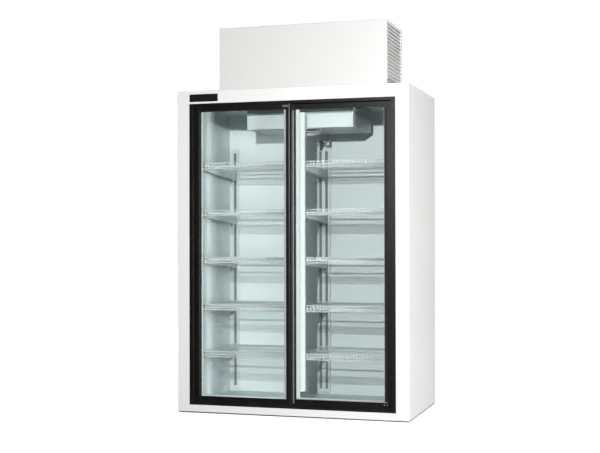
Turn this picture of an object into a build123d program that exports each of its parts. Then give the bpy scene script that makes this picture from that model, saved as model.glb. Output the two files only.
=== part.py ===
from build123d import *
import os

os.makedirs("parts", exist_ok=True)

# A two-section glass door merchandiser refrigerator with sliding doors and a condensing unit on the roof.
# Millimetres. X runs to the right, Y into the cabinet and Z up. The origin is on the floor under the middle.

# Cabinet body
cabinet_width = 1422.0
cabinet_depth = 813.0
body_height = 1930.0
glide_height = 6.0
skin = 1.2
liner = 1.0
side_wall = 57.0
rear_wall = 63.5
roof_wall = 76.0
floor_wall = 32.0
face_width = 76.5
face_foot = 42.3
face_depth = 76.0

# Levelling glides
glide_radius = 20.0
glide_sides = 6
glide_inset = 90.0

# Door frame
jamb_width = 24.0
frame_wall = 2.5
frame_web = 3.0
head_height = 19.0
sill_lip = 12.0
track_rib = 2.0
track_rib_height = 7.0
track_front = 21.0
track_pitch = 32.0
track_clearance = 1.5
bumper_thickness = 3.0
bumper_gap = 0.5
bumper_margin = 60.0

# Sliding doors
door_overlap = 18.0
door_thickness = 26.0
door_sill_gap = 2.0
lift_out_gap = 8.5
stile_width = 33.0
stile_chamber = 19.0
bar_wall = 2.5
bottom_rail_height = 38.0
bottom_rail_chamber = 24.0
top_rail_height = 37.0
top_rail_chamber = 23.0
glass_flange = 3.0
glass_unit_thickness = 18.0
pane_thickness = 4.0
spacer_width = 10.0
inner_frame_side_reveal = 20.0
inner_frame_rail_reveal = 7.0

# Door rollers
roller_inset = 60.0
roller_radius = 15.0
roller_width = 9.0
roller_gap = 0.3
roller_side_gap = 1.5
roller_pin_radius = 2.5
running_clearance = 0.05

# Interlock strip and hold-open clip of the meeting stiles
interlock_width = 17.0
interlock_thickness = 2.0
interlock_inset = 6.0
interlock_end_gap = 12.0
clip_width = 32.0
clip_height = 13.0
clip_thickness = 3.0
clip_edge_gap = 21.0
clip_top_gap = 14.0
clip_fillet = 1.0

# Centre lamp
lamp_bottom = 134.0
lamp_top = 1790.0
lamp_front = 88.0
lamp_shoulder = 103.0
lamp_back = 118.0
lamp_face_half = 45.0
lamp_half = 62.0
lamp_sheet = 1.5
diffuser_wall = 2.0
tube_radius = 13.0
lamp_cap_half = 35.0
lamp_cap_height = 28.0
lamp_post_half = 10.0
lamp_post_depth = 12.0
lamp_foot_height = 10.0

# Shelf standards and arms
standard_width = 40.0
standard_depth = 14.5
standard_wall = 1.5
standard_bottom = 43.0
standard_top = 1627.0
outer_standard_inset = 45.0
inner_standard_offset = 20.25
slot_width = 19.0
slot_height = 15.0
slot_step = 24.0
hook_spacing = 48.0
arm_thickness = 3.0
arm_front_gap = 6.0
arm_front_height = 17.0
arm_rear_height = 60.0
hook_root_height = 8.0
hook_lip_drop = 6.0
hook_lip_thickness = 5.0
hook_clearance = 0.5
hook_root_drop = 2.0

# Wire shelves
shelf_count = 5
first_shelf_top = 338.0
shelf_spacing = 288.0
shelf_front = 140.0
shelf_rear_gap = 2.0
shelf_side_gap = 8.0
shelf_middle_gap = 4.0
shelf_wires = 33
wire = 4.0
rod = 5.0
shelf_lip = 25.0
lip_windows = 4
rod_stations = (0.33, 0.66, 0.99)

# Unit cooler under the ceiling
cooler_half = 334.0
cooler_depth = 468.0
cooler_rear_gap = 81.5
cooler_height = 147.0
cooler_sheet = 1.5
cooler_fan_setback = 130.0
cooler_fan_opening = 100.0
cooler_fan_radius = 90.0
coil_half = 290.0
coil_setback = 265.0
coil_depth = 180.0
coil_height = 120.0
coil_fins = 14
coil_fin = 6.0
fan_motor_radius = 38.0
fan_motor_height = 60.0
strap_half = 112.0
strap_width = 20.0
strap_height = 15.0
fan_shaft_radius = 3.0
fan_hub_radius = 14.0
fan_hub_height = 15.0
fan_blades = 4
blade_pitch = 24.0
blade_thickness = 1.6
cooler_blade_chord = 46.0
guard_wire = 3.0
guard_depth = 35.0
guard_middle_radius = 78.0
guard_inner_radius = 42.0
guard_boss_radius = 15.0
guard_arms = 5
guard_sides = 20

# Control and switch on the left end of the unit cooler
control_setback = 100.0
control_drop = 70.0
knob_radius = 18.0
knob_depth = 15.0
knob_grip_width = 6.0
knob_grip_height = 5.0
spindle_radius = 3.0
spindle_length = 11.0
spindle_end_gap = 0.5
knob_plate_gap = 0.5
switch_setback = 170.0
rocker_length = 24.0
rocker_width = 15.0
rocker_depth = 14.0
rocker_gap = 0.6
rocker_pin_radius = 1.6

# Drain of the unit cooler
elbow_radius = 9.5
elbow_x = -9.5
elbow_wall_gap = 49.5
elbow_top = 1669.0
elbow_bottom = 1610.0
elbow_gap = 1.0
elbow_socket = 6.0
hose_radius = 6.0
hose_x = 55.0
hose_spigot_inset = 13.0
hose_drop = 18.0
hose_low = 1636.0
hose_bend = 10.0
hose_sides = 10
hose_chords = 4

# Hood on the roof
hood_left_inset = 273.0
hood_right_inset = 125.0
hood_depth = 405.0
hood_height = 369.0
hood_return = 18.0
louvre_pitch = 21.0
louvre_count = 14
louvre_top_margin = 42.0
louvre_side_margin = 14.0
louvre_reach = 14.0
louvre_rise = 19.0
hood_vents = 5
hood_vent_height = 12.0
hood_vent_pitch = 30.0
hood_vent_length = 700.0

# Condensing unit under the hood
tray_margin = 30.0
tray_height = 22.0
tray_sheet = 2.0
compressor_inset = 188.0
compressor_radius = 78.0
compressor_height = 200.0
compressor_dome = 30.0
compressor_foot = 12.0
compressor_foot_half = 95.0
condenser_inset = 100.0
condenser_thickness = 66.0
condenser_half_depth = 150.0
condenser_height = 300.0
condenser_fins = 12
condenser_fin = 6.0
condenser_motor_inset = 206.0
condenser_motor_radius = 42.0
condenser_motor_length = 80.0
condenser_stand_width = 50.0
condenser_stand_thickness = 6.0
condenser_fan_gap = 22.0
condenser_fan_radius = 125.0
condenser_blade_chord = 62.0

# Places that follow from the sizes above
half_width = cabinet_width / 2
front = -cabinet_depth / 2
back = cabinet_depth / 2
body_base = glide_height
body_top = body_base + body_height
inner_half = half_width - side_wall
liner_half = inner_half + liner
inner_back = back - rear_wall
floor_level = body_base + floor_wall
ceiling = body_top - roof_wall
frame_half = half_width - face_width
frame_base = body_base + face_foot
frame_top = body_top - face_width
frame_back = front + face_depth
opening_half = frame_half - jamb_width
door_width = opening_half - bumper_thickness - bumper_gap + door_overlap / 2
tracks = (front + track_front, front + track_front + track_pitch)
sill_top = frame_base + sill_lip
track_floor = frame_base + frame_web
door_bottom = sill_top + door_sill_gap
door_top = frame_top - frame_web - lift_out_gap
door_height = door_top - door_bottom
track_half = roller_width / 2 + roller_side_gap
axle_height = track_floor + roller_gap + roller_radius
standard_face = inner_back - standard_depth
cooler_base = ceiling - cooler_height
cooler_back = inner_back - cooler_rear_gap
cooler_face = cooler_back - cooler_depth
hood_left = hood_left_inset - half_width
hood_right = half_width - hood_right_inset
hood_top_level = body_top + hood_height
hood_middle = (hood_left + hood_right) / 2
hood_back = front + hood_depth


def slab(low, high):
    """A straight slab between two opposite corners."""
    width, depth, height = (b - a for a, b in zip(low, high))
    with BuildPart() as piece:
        with BuildSketch(Plane.XY.offset(low[2])):
            with Locations((low[0] + width / 2, low[1] + depth / 2)):
                Rectangle(width, depth)
        extrude(amount=height)
    return piece.part


def group(*solids):
    """Separate solids kept together as one node."""
    return Compound(children=[s for part in solids for s in part.solids()])


def keep(name, part):
    """Labels a finished piece and writes it to its own file."""
    part.label = name
    export_step(part, f"parts/{name}.step")


def fan(plane, hub_height, tip_radius, chord):
    """A fan with flat pitched blades round a bored hub, centred on a plane whose normal is its shaft."""
    with BuildPart(plane) as rotor:
        Cylinder(fan_hub_radius, hub_height)
        blade_length = tip_radius - fan_hub_radius / 2
        with PolarLocations(fan_hub_radius / 2, fan_blades):
            Box(
                blade_length,
                chord,
                blade_thickness,
                rotation=(blade_pitch, 0, 0),
                align=(Align.MIN, Align.CENTER, Align.CENTER),
            )
        Cylinder(fan_shaft_radius + running_clearance, chord, mode=Mode.SUBTRACT)
    return rotor.part


# Cabinet body

with BuildPart() as outer_shell:
    add(slab((-half_width, front, body_base), (half_width, back - skin, body_top)))
    open_faces = [outer_shell.faces().sort_by(Axis.Y)[-1], outer_shell.faces().sort_by(Axis.Z)[0]]
    offset(amount=-skin, openings=open_faces)
    doorway = slab((-frame_half, front, frame_base), (frame_half, front + skin, frame_top))
    add(doorway, mode=Mode.SUBTRACT)
keep("outer_shell", outer_shell.part)

with BuildPart() as rear_panel:
    add(slab((-half_width, back - skin, body_base), (half_width, back, body_top)))
keep("rear_panel", rear_panel.part)

glide_spots = [
    (side * (half_width - glide_inset), depth * (back - glide_inset)) for side in (-1, 1) for depth in (-1, 1)
]
pan_top = body_base + skin
with BuildPart() as base_pan:
    add(slab((skin - half_width, front + skin, body_base), (half_width - skin, back - skin, pan_top)))
keep("base_pan", base_pan.part)

with BuildPart() as levelling_glides:
    with BuildSketch():
        with Locations(*glide_spots):
            RegularPolygon(glide_radius, glide_sides)
    extrude(amount=glide_height)
keep("levelling_glides", levelling_glides.part)

# The insulation is foamed in slabs that meet face to face
foam_half = half_width - skin
foam_top = body_top - skin
foam_front = front + skin
foam_back = back - skin
liner_floor = floor_level - liner
liner_ceiling = ceiling + liner
liner_back = inner_back + liner
foam_slabs = [
    slab((-liner_half, frame_back, pan_top), (liner_half, foam_back, liner_floor)),
    slab((-liner_half, frame_back, liner_ceiling), (liner_half, foam_back, foam_top)),
    slab((-liner_half, liner_back, liner_floor), (liner_half, foam_back, liner_ceiling)),
    slab((-frame_half, foam_front, pan_top), (frame_half, frame_back, frame_base)),
    slab((-frame_half, foam_front, frame_top), (frame_half, frame_back, foam_top)),
]
for side in (-1, 1):
    low, high = sorted((side * liner_half, side * foam_half))
    foam_slabs.append(slab((low, frame_back, pan_top), (high, foam_back, foam_top)))
    low, high = sorted((side * frame_half, side * foam_half))
    foam_slabs.append(slab((low, foam_front, pan_top), (high, frame_back, foam_top)))
foam_core = group(*foam_slabs)
keep("foam_core", foam_core)

with BuildPart() as inner_liner:
    add(slab((-liner_half, frame_back, liner_floor), (liner_half, liner_back, liner_ceiling)))
    hollow = slab((-inner_half, frame_back + liner, floor_level), (inner_half, inner_back, ceiling))
    add(hollow, mode=Mode.SUBTRACT)
    mouth = slab((-frame_half, frame_back, frame_base), (frame_half, frame_back + liner, frame_top))
    add(mouth, mode=Mode.SUBTRACT)
keep("inner_liner", inner_liner.part)

# Door frame

channel_width = door_thickness + 2 * track_clearance
with BuildPart() as frame_head:
    with BuildSketch(Plane.YZ.offset(-opening_half)):
        with Locations((front + face_depth / 2, frame_top - head_height / 2)):
            Rectangle(face_depth, head_height)
        with Locations(*[(track, frame_top - frame_web) for track in tracks]):
            Rectangle(
                channel_width,
                head_height - frame_web,
                align=(Align.CENTER, Align.MAX),
                mode=Mode.SUBTRACT,
            )
    extrude(amount=2 * opening_half)
keep("frame_head", frame_head.part)

with BuildPart() as frame_sill:
    with BuildSketch(Plane.YZ.offset(-opening_half)):
        with Locations((front + face_depth / 2, frame_base)):
            Rectangle(face_depth, frame_web, align=(Align.CENTER, Align.MIN))
        with Locations((front, frame_base)):
            Rectangle(frame_wall, sill_lip, align=Align.MIN)
        with Locations((frame_back, frame_base)):
            Rectangle(frame_wall, sill_lip, align=(Align.MAX, Align.MIN))
        with Locations(*[(track, frame_base) for track in tracks]):
            Rectangle(
                2 * (track_half + track_rib),
                frame_web + track_rib_height,
                align=(Align.CENTER, Align.MIN),
            )
        with Locations(*[(track, track_floor) for track in tracks]):
            Rectangle(2 * track_half, track_rib_height, align=(Align.CENTER, Align.MIN), mode=Mode.SUBTRACT)
    extrude(amount=2 * opening_half)
keep("frame_sill", frame_sill.part)


def jamb(side):
    """A hollow box extrusion beside the doorway."""
    with BuildPart() as post:
        with BuildSketch(Plane.XY.offset(frame_base)):
            with Locations((side * (frame_half - jamb_width / 2), front + face_depth / 2)):
                Rectangle(jamb_width, face_depth)
                Rectangle(jamb_width - 2 * frame_wall, face_depth - 2 * frame_wall, mode=Mode.SUBTRACT)
        extrude(amount=frame_top - frame_base)
    return post.part


keep("frame_left_jamb", jamb(-1))
keep("frame_right_jamb", jamb(1))

bumper_half = opening_half - bumper_thickness
bumper_low = door_bottom + bumper_margin
bumper_high = door_top - bumper_margin
with BuildPart() as jamb_bumpers:
    for side, track in ((-1, tracks[0]), (1, tracks[1])):
        near, far = sorted((side * bumper_half, side * opening_half))
        low_y = track - door_thickness / 2
        high_y = track + door_thickness / 2
        add(slab((near, low_y, bumper_low), (far, high_y, bumper_high)))
keep("jamb_bumpers", jamb_bumpers.part)

# Sliding doors


def door_stiles(left, face):
    """The two upright bars of a door, each a hollow chamber with a flange over the edge of the glass."""
    with BuildPart() as stiles:
        for side, edge in ((1, left), (-1, left + door_width)):
            align = (Align.MIN if side > 0 else Align.MAX, Align.MIN)
            with BuildSketch(Plane.XY.offset(door_bottom)):
                with Locations((edge, face)):
                    Rectangle(stile_width, glass_flange, align=align)
                    Rectangle(stile_chamber, door_thickness, align=align)
                with Locations((edge + side * bar_wall, face + glass_flange)):
                    Rectangle(
                        stile_chamber - 2 * bar_wall,
                        door_thickness - glass_flange - bar_wall,
                        align=align,
                        mode=Mode.SUBTRACT,
                    )
            extrude(amount=door_height)
    return stiles.part


def door_rails(left, face):
    """The top and bottom bars of a door. The bottom bar is a channel that holds the roller pins."""
    right = left + door_width
    chamber_low, chamber_high = left + stile_chamber, right - stile_chamber
    flange_low, flange_high = left + stile_width, right - stile_width
    inner_face, rear = face + glass_flange, face + door_thickness
    middle = face + door_thickness / 2
    channel_top = axle_height + roller_radius + roller_side_gap
    bottom_edge = door_bottom + bottom_rail_height
    top_edge = door_top - top_rail_height
    with BuildPart() as rails:
        add(slab((flange_low, face, door_bottom), (flange_high, inner_face, bottom_edge)))
        chamber_edge = door_bottom + bottom_rail_chamber
        add(slab((chamber_low, inner_face, door_bottom), (chamber_high, rear, chamber_edge)))
        channel = slab(
            (chamber_low, middle - track_half, door_bottom), (chamber_high, middle + track_half, channel_top)
        )
        add(channel, mode=Mode.SUBTRACT)
        with Locations(Plane(origin=(0, middle, axle_height), x_dir=(1, 0, 0), z_dir=(0, -1, 0))):
            with Locations((left + roller_inset, 0), (right - roller_inset, 0)):
                Cylinder(roller_pin_radius, 2 * track_half + bar_wall)
        add(slab((flange_low, face, top_edge), (flange_high, inner_face, door_top)))
        add(slab((chamber_low, inner_face, door_top - top_rail_chamber), (chamber_high, rear, door_top)))
    return rails.part


def glass_unit(left, face):
    """A sealed unit: two panes with a spacer bar round their edges."""
    low_x, high_x = left + stile_chamber, left + door_width - stile_chamber
    low_z, high_z = door_bottom + bottom_rail_chamber, door_top - top_rail_chamber
    first = face + glass_flange
    last = first + glass_unit_thickness
    panes = [
        slab((low_x, first, low_z), (high_x, first + pane_thickness, high_z)),
        slab((low_x, last - pane_thickness, low_z), (high_x, last, high_z)),
    ]
    with BuildPart() as spacer:
        gap_front, gap_back = first + pane_thickness, last - pane_thickness
        add(slab((low_x, gap_front, low_z), (high_x, gap_back, high_z)))
        inside_low = (low_x + spacer_width, gap_front, low_z + spacer_width)
        inside_high = (high_x - spacer_width, gap_back, high_z - spacer_width)
        add(slab(inside_low, inside_high), mode=Mode.SUBTRACT)
    return group(*panes, spacer.part)


def inner_frame(left, face):
    """Four light plastic strips that hold the glass unit from the inside."""
    low_x, high_x = left + stile_chamber, left + door_width - stile_chamber
    low_z, high_z = door_bottom + bottom_rail_chamber, door_top - top_rail_chamber
    seen_low = left + stile_width + inner_frame_side_reveal
    seen_high = left + door_width - stile_width - inner_frame_side_reveal
    first = face + glass_flange + glass_unit_thickness
    last = face + door_thickness
    bottom_edge = door_bottom + bottom_rail_height + inner_frame_rail_reveal
    top_edge = door_top - top_rail_height - inner_frame_rail_reveal
    return group(
        slab((low_x, first, low_z), (seen_low, last, high_z)),
        slab((seen_high, first, low_z), (high_x, last, high_z)),
        slab((seen_low, first, low_z), (seen_high, last, bottom_edge)),
        slab((seen_low, first, top_edge), (seen_high, last, high_z)),
    )


def roller(centre_x, track):
    """A wheel on a pin along Y that runs between the two ribs of its track."""
    with BuildPart(Plane(origin=(centre_x, track, axle_height), x_dir=(1, 0, 0), z_dir=(0, -1, 0))) as wheel:
        Cylinder(roller_radius, roller_width)
        Cylinder(roller_pin_radius + running_clearance, roller_width, mode=Mode.SUBTRACT)
    return wheel.part


left_door_x = bumper_thickness + bumper_gap - opening_half
right_door_x = -left_door_x - door_width
for side, left, track in (("left", left_door_x, tracks[0]), ("right", right_door_x, tracks[1])):
    face = track - door_thickness / 2
    keep(f"{side}_door_stiles", door_stiles(left, face))
    keep(f"{side}_door_rails", door_rails(left, face))
    keep(f"{side}_door_glass", glass_unit(left, face))
    keep(f"{side}_door_inner_frame", inner_frame(left, face))
    keep(f"{side}_door_left_roller", roller(left + roller_inset, track))
    keep(f"{side}_door_right_roller", roller(left + door_width - roller_inset, track))

with BuildPart() as left_door_hold_open_clip:
    clip_right = left_door_x + door_width - clip_edge_gap
    clip_top = door_top - clip_top_gap
    clip_face = tracks[0] - door_thickness / 2
    clip_low = (clip_right - clip_width, clip_face - clip_thickness, clip_top - clip_height)
    add(slab(clip_low, (clip_right, clip_face, clip_top)))
    fillet(left_door_hold_open_clip.edges().filter_by(Axis.Y), clip_fillet)
keep("left_door_hold_open_clip", left_door_hold_open_clip.part)

with BuildPart() as right_door_interlock:
    strip_left = right_door_x + interlock_inset
    strip_face = tracks[1] - door_thickness / 2
    strip_low = (strip_left, strip_face - interlock_thickness, door_bottom + interlock_end_gap)
    add(slab(strip_low, (strip_left + interlock_width, strip_face, door_top - 2 * interlock_end_gap)))
keep("right_door_interlock", right_door_interlock.part)

# Centre lamp

lamp_low, lamp_high = body_base + lamp_bottom, body_base + lamp_top
lamp_height = lamp_high - lamp_low
lamp_outline = [
    (-lamp_half, front + lamp_back),
    (-lamp_half, front + lamp_shoulder),
    (-lamp_face_half, front + lamp_front),
    (lamp_face_half, front + lamp_front),
    (lamp_half, front + lamp_shoulder),
    (lamp_half, front + lamp_back),
]
with BuildPart() as lamp_housing:
    with BuildSketch(Plane.XY.offset(lamp_low)):
        with Locations((0, front + lamp_back)):
            Rectangle(2 * lamp_half, lamp_back - lamp_shoulder, align=(Align.CENTER, Align.MAX))
        with Locations((0, front + lamp_back - lamp_sheet)):
            Rectangle(
                2 * (lamp_half - lamp_sheet),
                lamp_back - lamp_shoulder,
                align=(Align.CENTER, Align.MAX),
                mode=Mode.SUBTRACT,
            )
    extrude(amount=lamp_height)
keep("lamp_housing", lamp_housing.part)

with BuildPart() as lamp_diffuser:
    with BuildSketch(Plane.XY.offset(lamp_low)):
        with BuildLine():
            Polyline(lamp_outline[1:5], close=True)
        make_face()
        with BuildLine():
            Polyline(
                (-lamp_half + 2 * diffuser_wall, front + lamp_shoulder),
                (-lamp_face_half + diffuser_wall / 2, front + lamp_front + diffuser_wall),
                (lamp_face_half - diffuser_wall / 2, front + lamp_front + diffuser_wall),
                (lamp_half - 2 * diffuser_wall, front + lamp_shoulder),
                close=True,
            )
        make_face(mode=Mode.SUBTRACT)
    extrude(amount=lamp_height)
keep("lamp_diffuser", lamp_diffuser.part)

with BuildPart() as lamp_tube:
    with BuildSketch(Plane.XY.offset(lamp_low)):
        with Locations((0, front + lamp_shoulder)):
            Circle(tube_radius - diffuser_wall)
    extrude(amount=lamp_height)
keep("lamp_tube", lamp_tube.part)

post_middle = front + lamp_shoulder
with BuildPart() as lamp_foot:
    with BuildSketch(Plane.XY.offset(lamp_low)):
        with BuildLine():
            Polyline(lamp_outline, close=True)
        make_face()
    extrude(amount=-lamp_foot_height)
    with BuildSketch(Plane.XY.offset(floor_level)):
        with Locations((0, post_middle)):
            Rectangle(2 * lamp_post_half, lamp_post_depth)
    extrude(amount=lamp_low - lamp_foot_height - floor_level)
with BuildPart() as lamp_head:
    with BuildSketch(Plane.XY.offset(lamp_high)):
        with Locations((0, (front + lamp_front + front + lamp_back) / 2)):
            Rectangle(2 * lamp_cap_half, lamp_back - lamp_front)
    extrude(amount=lamp_cap_height)
    with BuildSketch(Plane.XY.offset(lamp_high + lamp_cap_height)):
        with Locations((0, post_middle)):
            Rectangle(2 * lamp_post_half, lamp_post_depth)
    extrude(amount=ceiling - lamp_high - lamp_cap_height)
keep("lamp_end_caps", group(lamp_foot.part, lamp_head.part))

# Shelf standards and arms

shelf_thickness = wire + rod
shelf_tops = [
    body_base + first_shelf_top + level * shelf_spacing for level in range(shelf_count)
]
arm_tops = [top - shelf_thickness for top in shelf_tops]
standard_columns = [
    -(inner_half - outer_standard_inset),
    -inner_standard_offset,
    inner_standard_offset,
    inner_half - outer_standard_inset,
]
hook_drops = (0, hook_spacing)
slot_middles = [
    top - drop - hook_root_drop - hook_root_height + slot_height / 2
    for top in arm_tops
    for drop in hook_drops
]


def standard(column):
    """An upright channel on the back wall, with a slot for each hook."""
    with BuildPart() as channel:
        with BuildSketch(Plane.XY.offset(body_base + standard_bottom)):
            with Locations((column, inner_back)):
                Rectangle(standard_width, standard_depth, align=(Align.CENTER, Align.MAX))
                Rectangle(
                    standard_width - 2 * standard_wall,
                    standard_depth - standard_wall,
                    align=(Align.CENTER, Align.MAX),
                    mode=Mode.SUBTRACT,
                )
        extrude(amount=standard_top - standard_bottom)
        with BuildSketch(Plane(origin=(column, standard_face, 0), x_dir=(1, 0, 0), z_dir=(0, -1, 0))):
            with Locations(*[(0, middle) for middle in slot_middles]):
                Rectangle(slot_width, slot_height)
        extrude(amount=-standard_wall, mode=Mode.SUBTRACT)
    return channel.part


keep("shelf_standards", group(*[standard(column) for column in standard_columns]))

arm_front = front + shelf_front + wire + arm_front_gap
hook_start = standard_face + standard_wall + hook_clearance


def shelf_arm(column, top):
    """A sheet arm, deeper at the back, with two hooks that go through the slots and drop behind them."""
    with BuildPart() as arm:
        with BuildSketch(Plane.YZ.offset(column - arm_thickness / 2)):
            with BuildLine():
                Polyline(
                    (arm_front, top),
                    (standard_face, top),
                    (standard_face, top - arm_rear_height),
                    (arm_front, top - arm_front_height),
                    close=True,
                )
            make_face()
            for drop in hook_drops:
                root_top = top - drop - hook_root_drop
                with Locations((standard_face, root_top)):
                    Rectangle(
                        hook_start - standard_face + hook_lip_thickness,
                        hook_root_height,
                        align=(Align.MIN, Align.MAX),
                    )
                with Locations((hook_start, root_top)):
                    Rectangle(
                        hook_lip_thickness,
                        hook_root_height + hook_lip_drop,
                        align=(Align.MIN, Align.MAX),
                    )
        extrude(amount=arm_thickness)
    return arm.part


keep("shelf_arms", group(*[shelf_arm(column, top) for column in standard_columns for top in arm_tops]))

# Wire shelves

shelf_back = standard_face - shelf_rear_gap
shelf_face = front + shelf_front
shelf_depth = shelf_back - shelf_face
shelf_inner = shelf_middle_gap
shelf_outer = inner_half - shelf_side_gap
shelf_width = shelf_outer - shelf_inner
wire_pitch = (shelf_width - wire) / (shelf_wires - 1)


def wire_shelf(left, top):
    """A shelf of front-to-back wires on cross rods, with a lip turned down along its front."""
    centre = left + shelf_width / 2
    with BuildPart() as deck:
        with BuildSketch(Plane.XY.offset(top - wire)):
            with Locations((centre, shelf_face + shelf_depth / 2)):
                Rectangle(shelf_width, shelf_depth)
            with Locations((centre, shelf_back)):
                with GridLocations(wire_pitch, 0, shelf_wires - 1, 1):
                    Rectangle(
                        wire_pitch - wire,
                        shelf_depth - rod,
                        align=(Align.CENTER, Align.MAX),
                        mode=Mode.SUBTRACT,
                    )
        extrude(amount=wire)
    rods = []
    for station in rod_stations:
        rod_y = shelf_face + station * shelf_depth
        low = (left, rod_y - rod / 2, top - shelf_thickness)
        rods.append(slab(low, (left + shelf_width, rod_y + rod / 2, top - wire)))
    lip_height = shelf_lip - wire
    window_pitch = (shelf_width - wire) / lip_windows
    with BuildPart() as lip:
        with BuildSketch(Plane(origin=(centre, shelf_face, top - wire), x_dir=(1, 0, 0), z_dir=(0, -1, 0))):
            with Locations((0, -lip_height / 2)):
                Rectangle(shelf_width, lip_height)
            with Locations((0, -(lip_height - rod) / 2)):
                with GridLocations(window_pitch, 0, lip_windows, 1):
                    Rectangle(window_pitch - wire, lip_height - rod - wire, mode=Mode.SUBTRACT)
        extrude(amount=-wire)
    return group(deck.part, *rods, lip.part)


for level, top in enumerate(shelf_tops, start=1):
    keep(f"left_shelf_{level}", wire_shelf(-shelf_outer, top))
    keep(f"right_shelf_{level}", wire_shelf(shelf_inner, top))

# Unit cooler under the ceiling

fan_y = cooler_face + cooler_fan_setback
control_level = ceiling - control_drop
end_plate = -cooler_half
pan_level = cooler_base + cooler_sheet
control_place = (end_plate, cooler_face + control_setback, control_level)
switch_place = (end_plate + cooler_sheet / 2, cooler_face + switch_setback, control_level)
with BuildPart() as evaporator_housing:
    add(slab((-cooler_half, cooler_face, cooler_base), (cooler_half, cooler_back, ceiling)))
    hollow_low = (cooler_sheet - cooler_half, cooler_face + cooler_sheet, pan_level)
    add(slab(hollow_low, (cooler_half - cooler_sheet, cooler_back, ceiling)), mode=Mode.SUBTRACT)
    with Locations((0, fan_y, cooler_base)):
        Cylinder(cooler_fan_opening, 2 * cooler_sheet, mode=Mode.SUBTRACT)
    with Locations(switch_place):
        Box(cooler_sheet, rocker_width + 2 * rocker_gap, rocker_length + 2 * rocker_gap, mode=Mode.SUBTRACT)
        Cylinder(rocker_pin_radius, rocker_width + 4 * rocker_gap, rotation=(90, 0, 0))
    with Locations(control_place):
        Cylinder(
            spindle_radius,
            spindle_length,
            rotation=(0, -90, 0),
            align=(Align.CENTER, Align.CENTER, Align.MIN),
        )
keep("evaporator_housing", evaporator_housing.part)

coil_pitch = (2 * coil_half - coil_fin) / (coil_fins - 1)
with BuildPart() as evaporator_coil:
    coil_face = Plane(origin=(0, cooler_face + coil_setback, pan_level), x_dir=(1, 0, 0), z_dir=(0, -1, 0))
    with BuildSketch(coil_face):
        with Locations((0, coil_height / 2)):
            Rectangle(2 * coil_half, coil_height)
            with GridLocations(coil_pitch, 0, coil_fins - 1, 1):
                Rectangle(coil_pitch - coil_fin, coil_height - 2 * coil_fin, mode=Mode.SUBTRACT)
    extrude(amount=-coil_depth)
keep("evaporator_coil", evaporator_coil.part)

strap_top = pan_level + strap_height
strap_bottom = strap_top - guard_wire
blade_level = cooler_base
with BuildPart() as evaporator_motor:
    with Locations((0, fan_y, strap_top)):
        Cylinder(fan_motor_radius, fan_motor_height, align=(Align.CENTER, Align.CENTER, Align.MIN))
    strap_front, strap_rear = fan_y - strap_width / 2, fan_y + strap_width / 2
    add(slab((-strap_half, strap_front, strap_bottom), (strap_half, strap_rear, strap_top)))
    for side in (-1, 1):
        low, high = sorted((side * strap_half, side * (strap_half - guard_wire)))
        add(slab((low, strap_front, pan_level), (high, strap_rear, strap_bottom)))
    with Locations((0, fan_y, strap_bottom)):
        Cylinder(
            fan_shaft_radius,
            strap_bottom - blade_level + fan_hub_height / 2,
            align=(Align.CENTER, Align.CENTER, Align.MAX),
        )
keep("evaporator_motor", evaporator_motor.part)

cooler_fan_plane = Plane((0, fan_y, blade_level))
keep("evaporator_fan", fan(cooler_fan_plane, fan_hub_height, cooler_fan_radius, cooler_blade_chord))

guard_low = cooler_base - guard_depth
guard_rim = cooler_fan_opening + guard_wire
with BuildPart() as fan_guard:
    with BuildSketch(Plane(origin=(0, fan_y, 0), x_dir=(1, 0, 0), z_dir=(0, -1, 0))) as rib:
        with BuildLine():
            Polyline(
                (guard_boss_radius / 2, guard_low),
                (guard_inner_radius, guard_low),
                (guard_middle_radius, guard_low + guard_wire),
                (guard_rim, guard_low + guard_depth / 2),
                (guard_rim, cooler_base),
                (cooler_fan_opening, cooler_base),
                (cooler_fan_opening, guard_low + guard_depth / 2 + guard_wire / 2),
                (guard_middle_radius, guard_low + 2 * guard_wire),
                (guard_inner_radius, guard_low + guard_wire),
                (guard_boss_radius / 2, guard_low + guard_wire),
                close=True,
            )
        make_face()
    rib_solid = extrude(rib.sketch, amount=guard_wire / 2, both=True, mode=Mode.PRIVATE)
    for turn in range(guard_arms):
        add(rib_solid.rotate(Axis((0, fan_y, 0), (0, 0, 1)), turn * 360 / guard_arms))
    with Locations((0, fan_y, guard_low)):
        Cylinder(guard_boss_radius, guard_wire, align=(Align.CENTER, Align.CENTER, Align.MIN))
    rings = (
        (guard_inner_radius, guard_low),
        (guard_middle_radius, guard_low + guard_wire),
        (cooler_fan_opening, cooler_base - guard_wire),
    )
    for radius, level in rings:
        with BuildSketch(Plane.XY.offset(level)):
            with Locations((0, fan_y)):
                RegularPolygon(radius + guard_wire, guard_sides)
                RegularPolygon(radius, guard_sides, mode=Mode.SUBTRACT)
        extrude(amount=guard_wire)
keep("fan_guard", fan_guard.part)

knob_spot = (end_plate - knob_plate_gap, cooler_face + control_setback, control_level)
knob_plane = Plane(origin=knob_spot, z_dir=(-1, 0, 0))
with BuildPart(knob_plane) as cold_control_knob:
    Cylinder(knob_radius, knob_depth, align=(Align.CENTER, Align.CENTER, Align.MIN))
    with Locations((0, 0, knob_depth)):
        Box(
            2 * knob_radius - knob_grip_width,
            knob_grip_width,
            knob_grip_height,
            align=(Align.CENTER, Align.CENTER, Align.MIN),
        )
    Cylinder(
        spindle_radius + running_clearance,
        spindle_length + spindle_end_gap,
        align=(Align.CENTER, Align.CENTER, Align.MIN),
        mode=Mode.SUBTRACT,
    )
keep("cold_control_knob", cold_control_knob.part)

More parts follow.
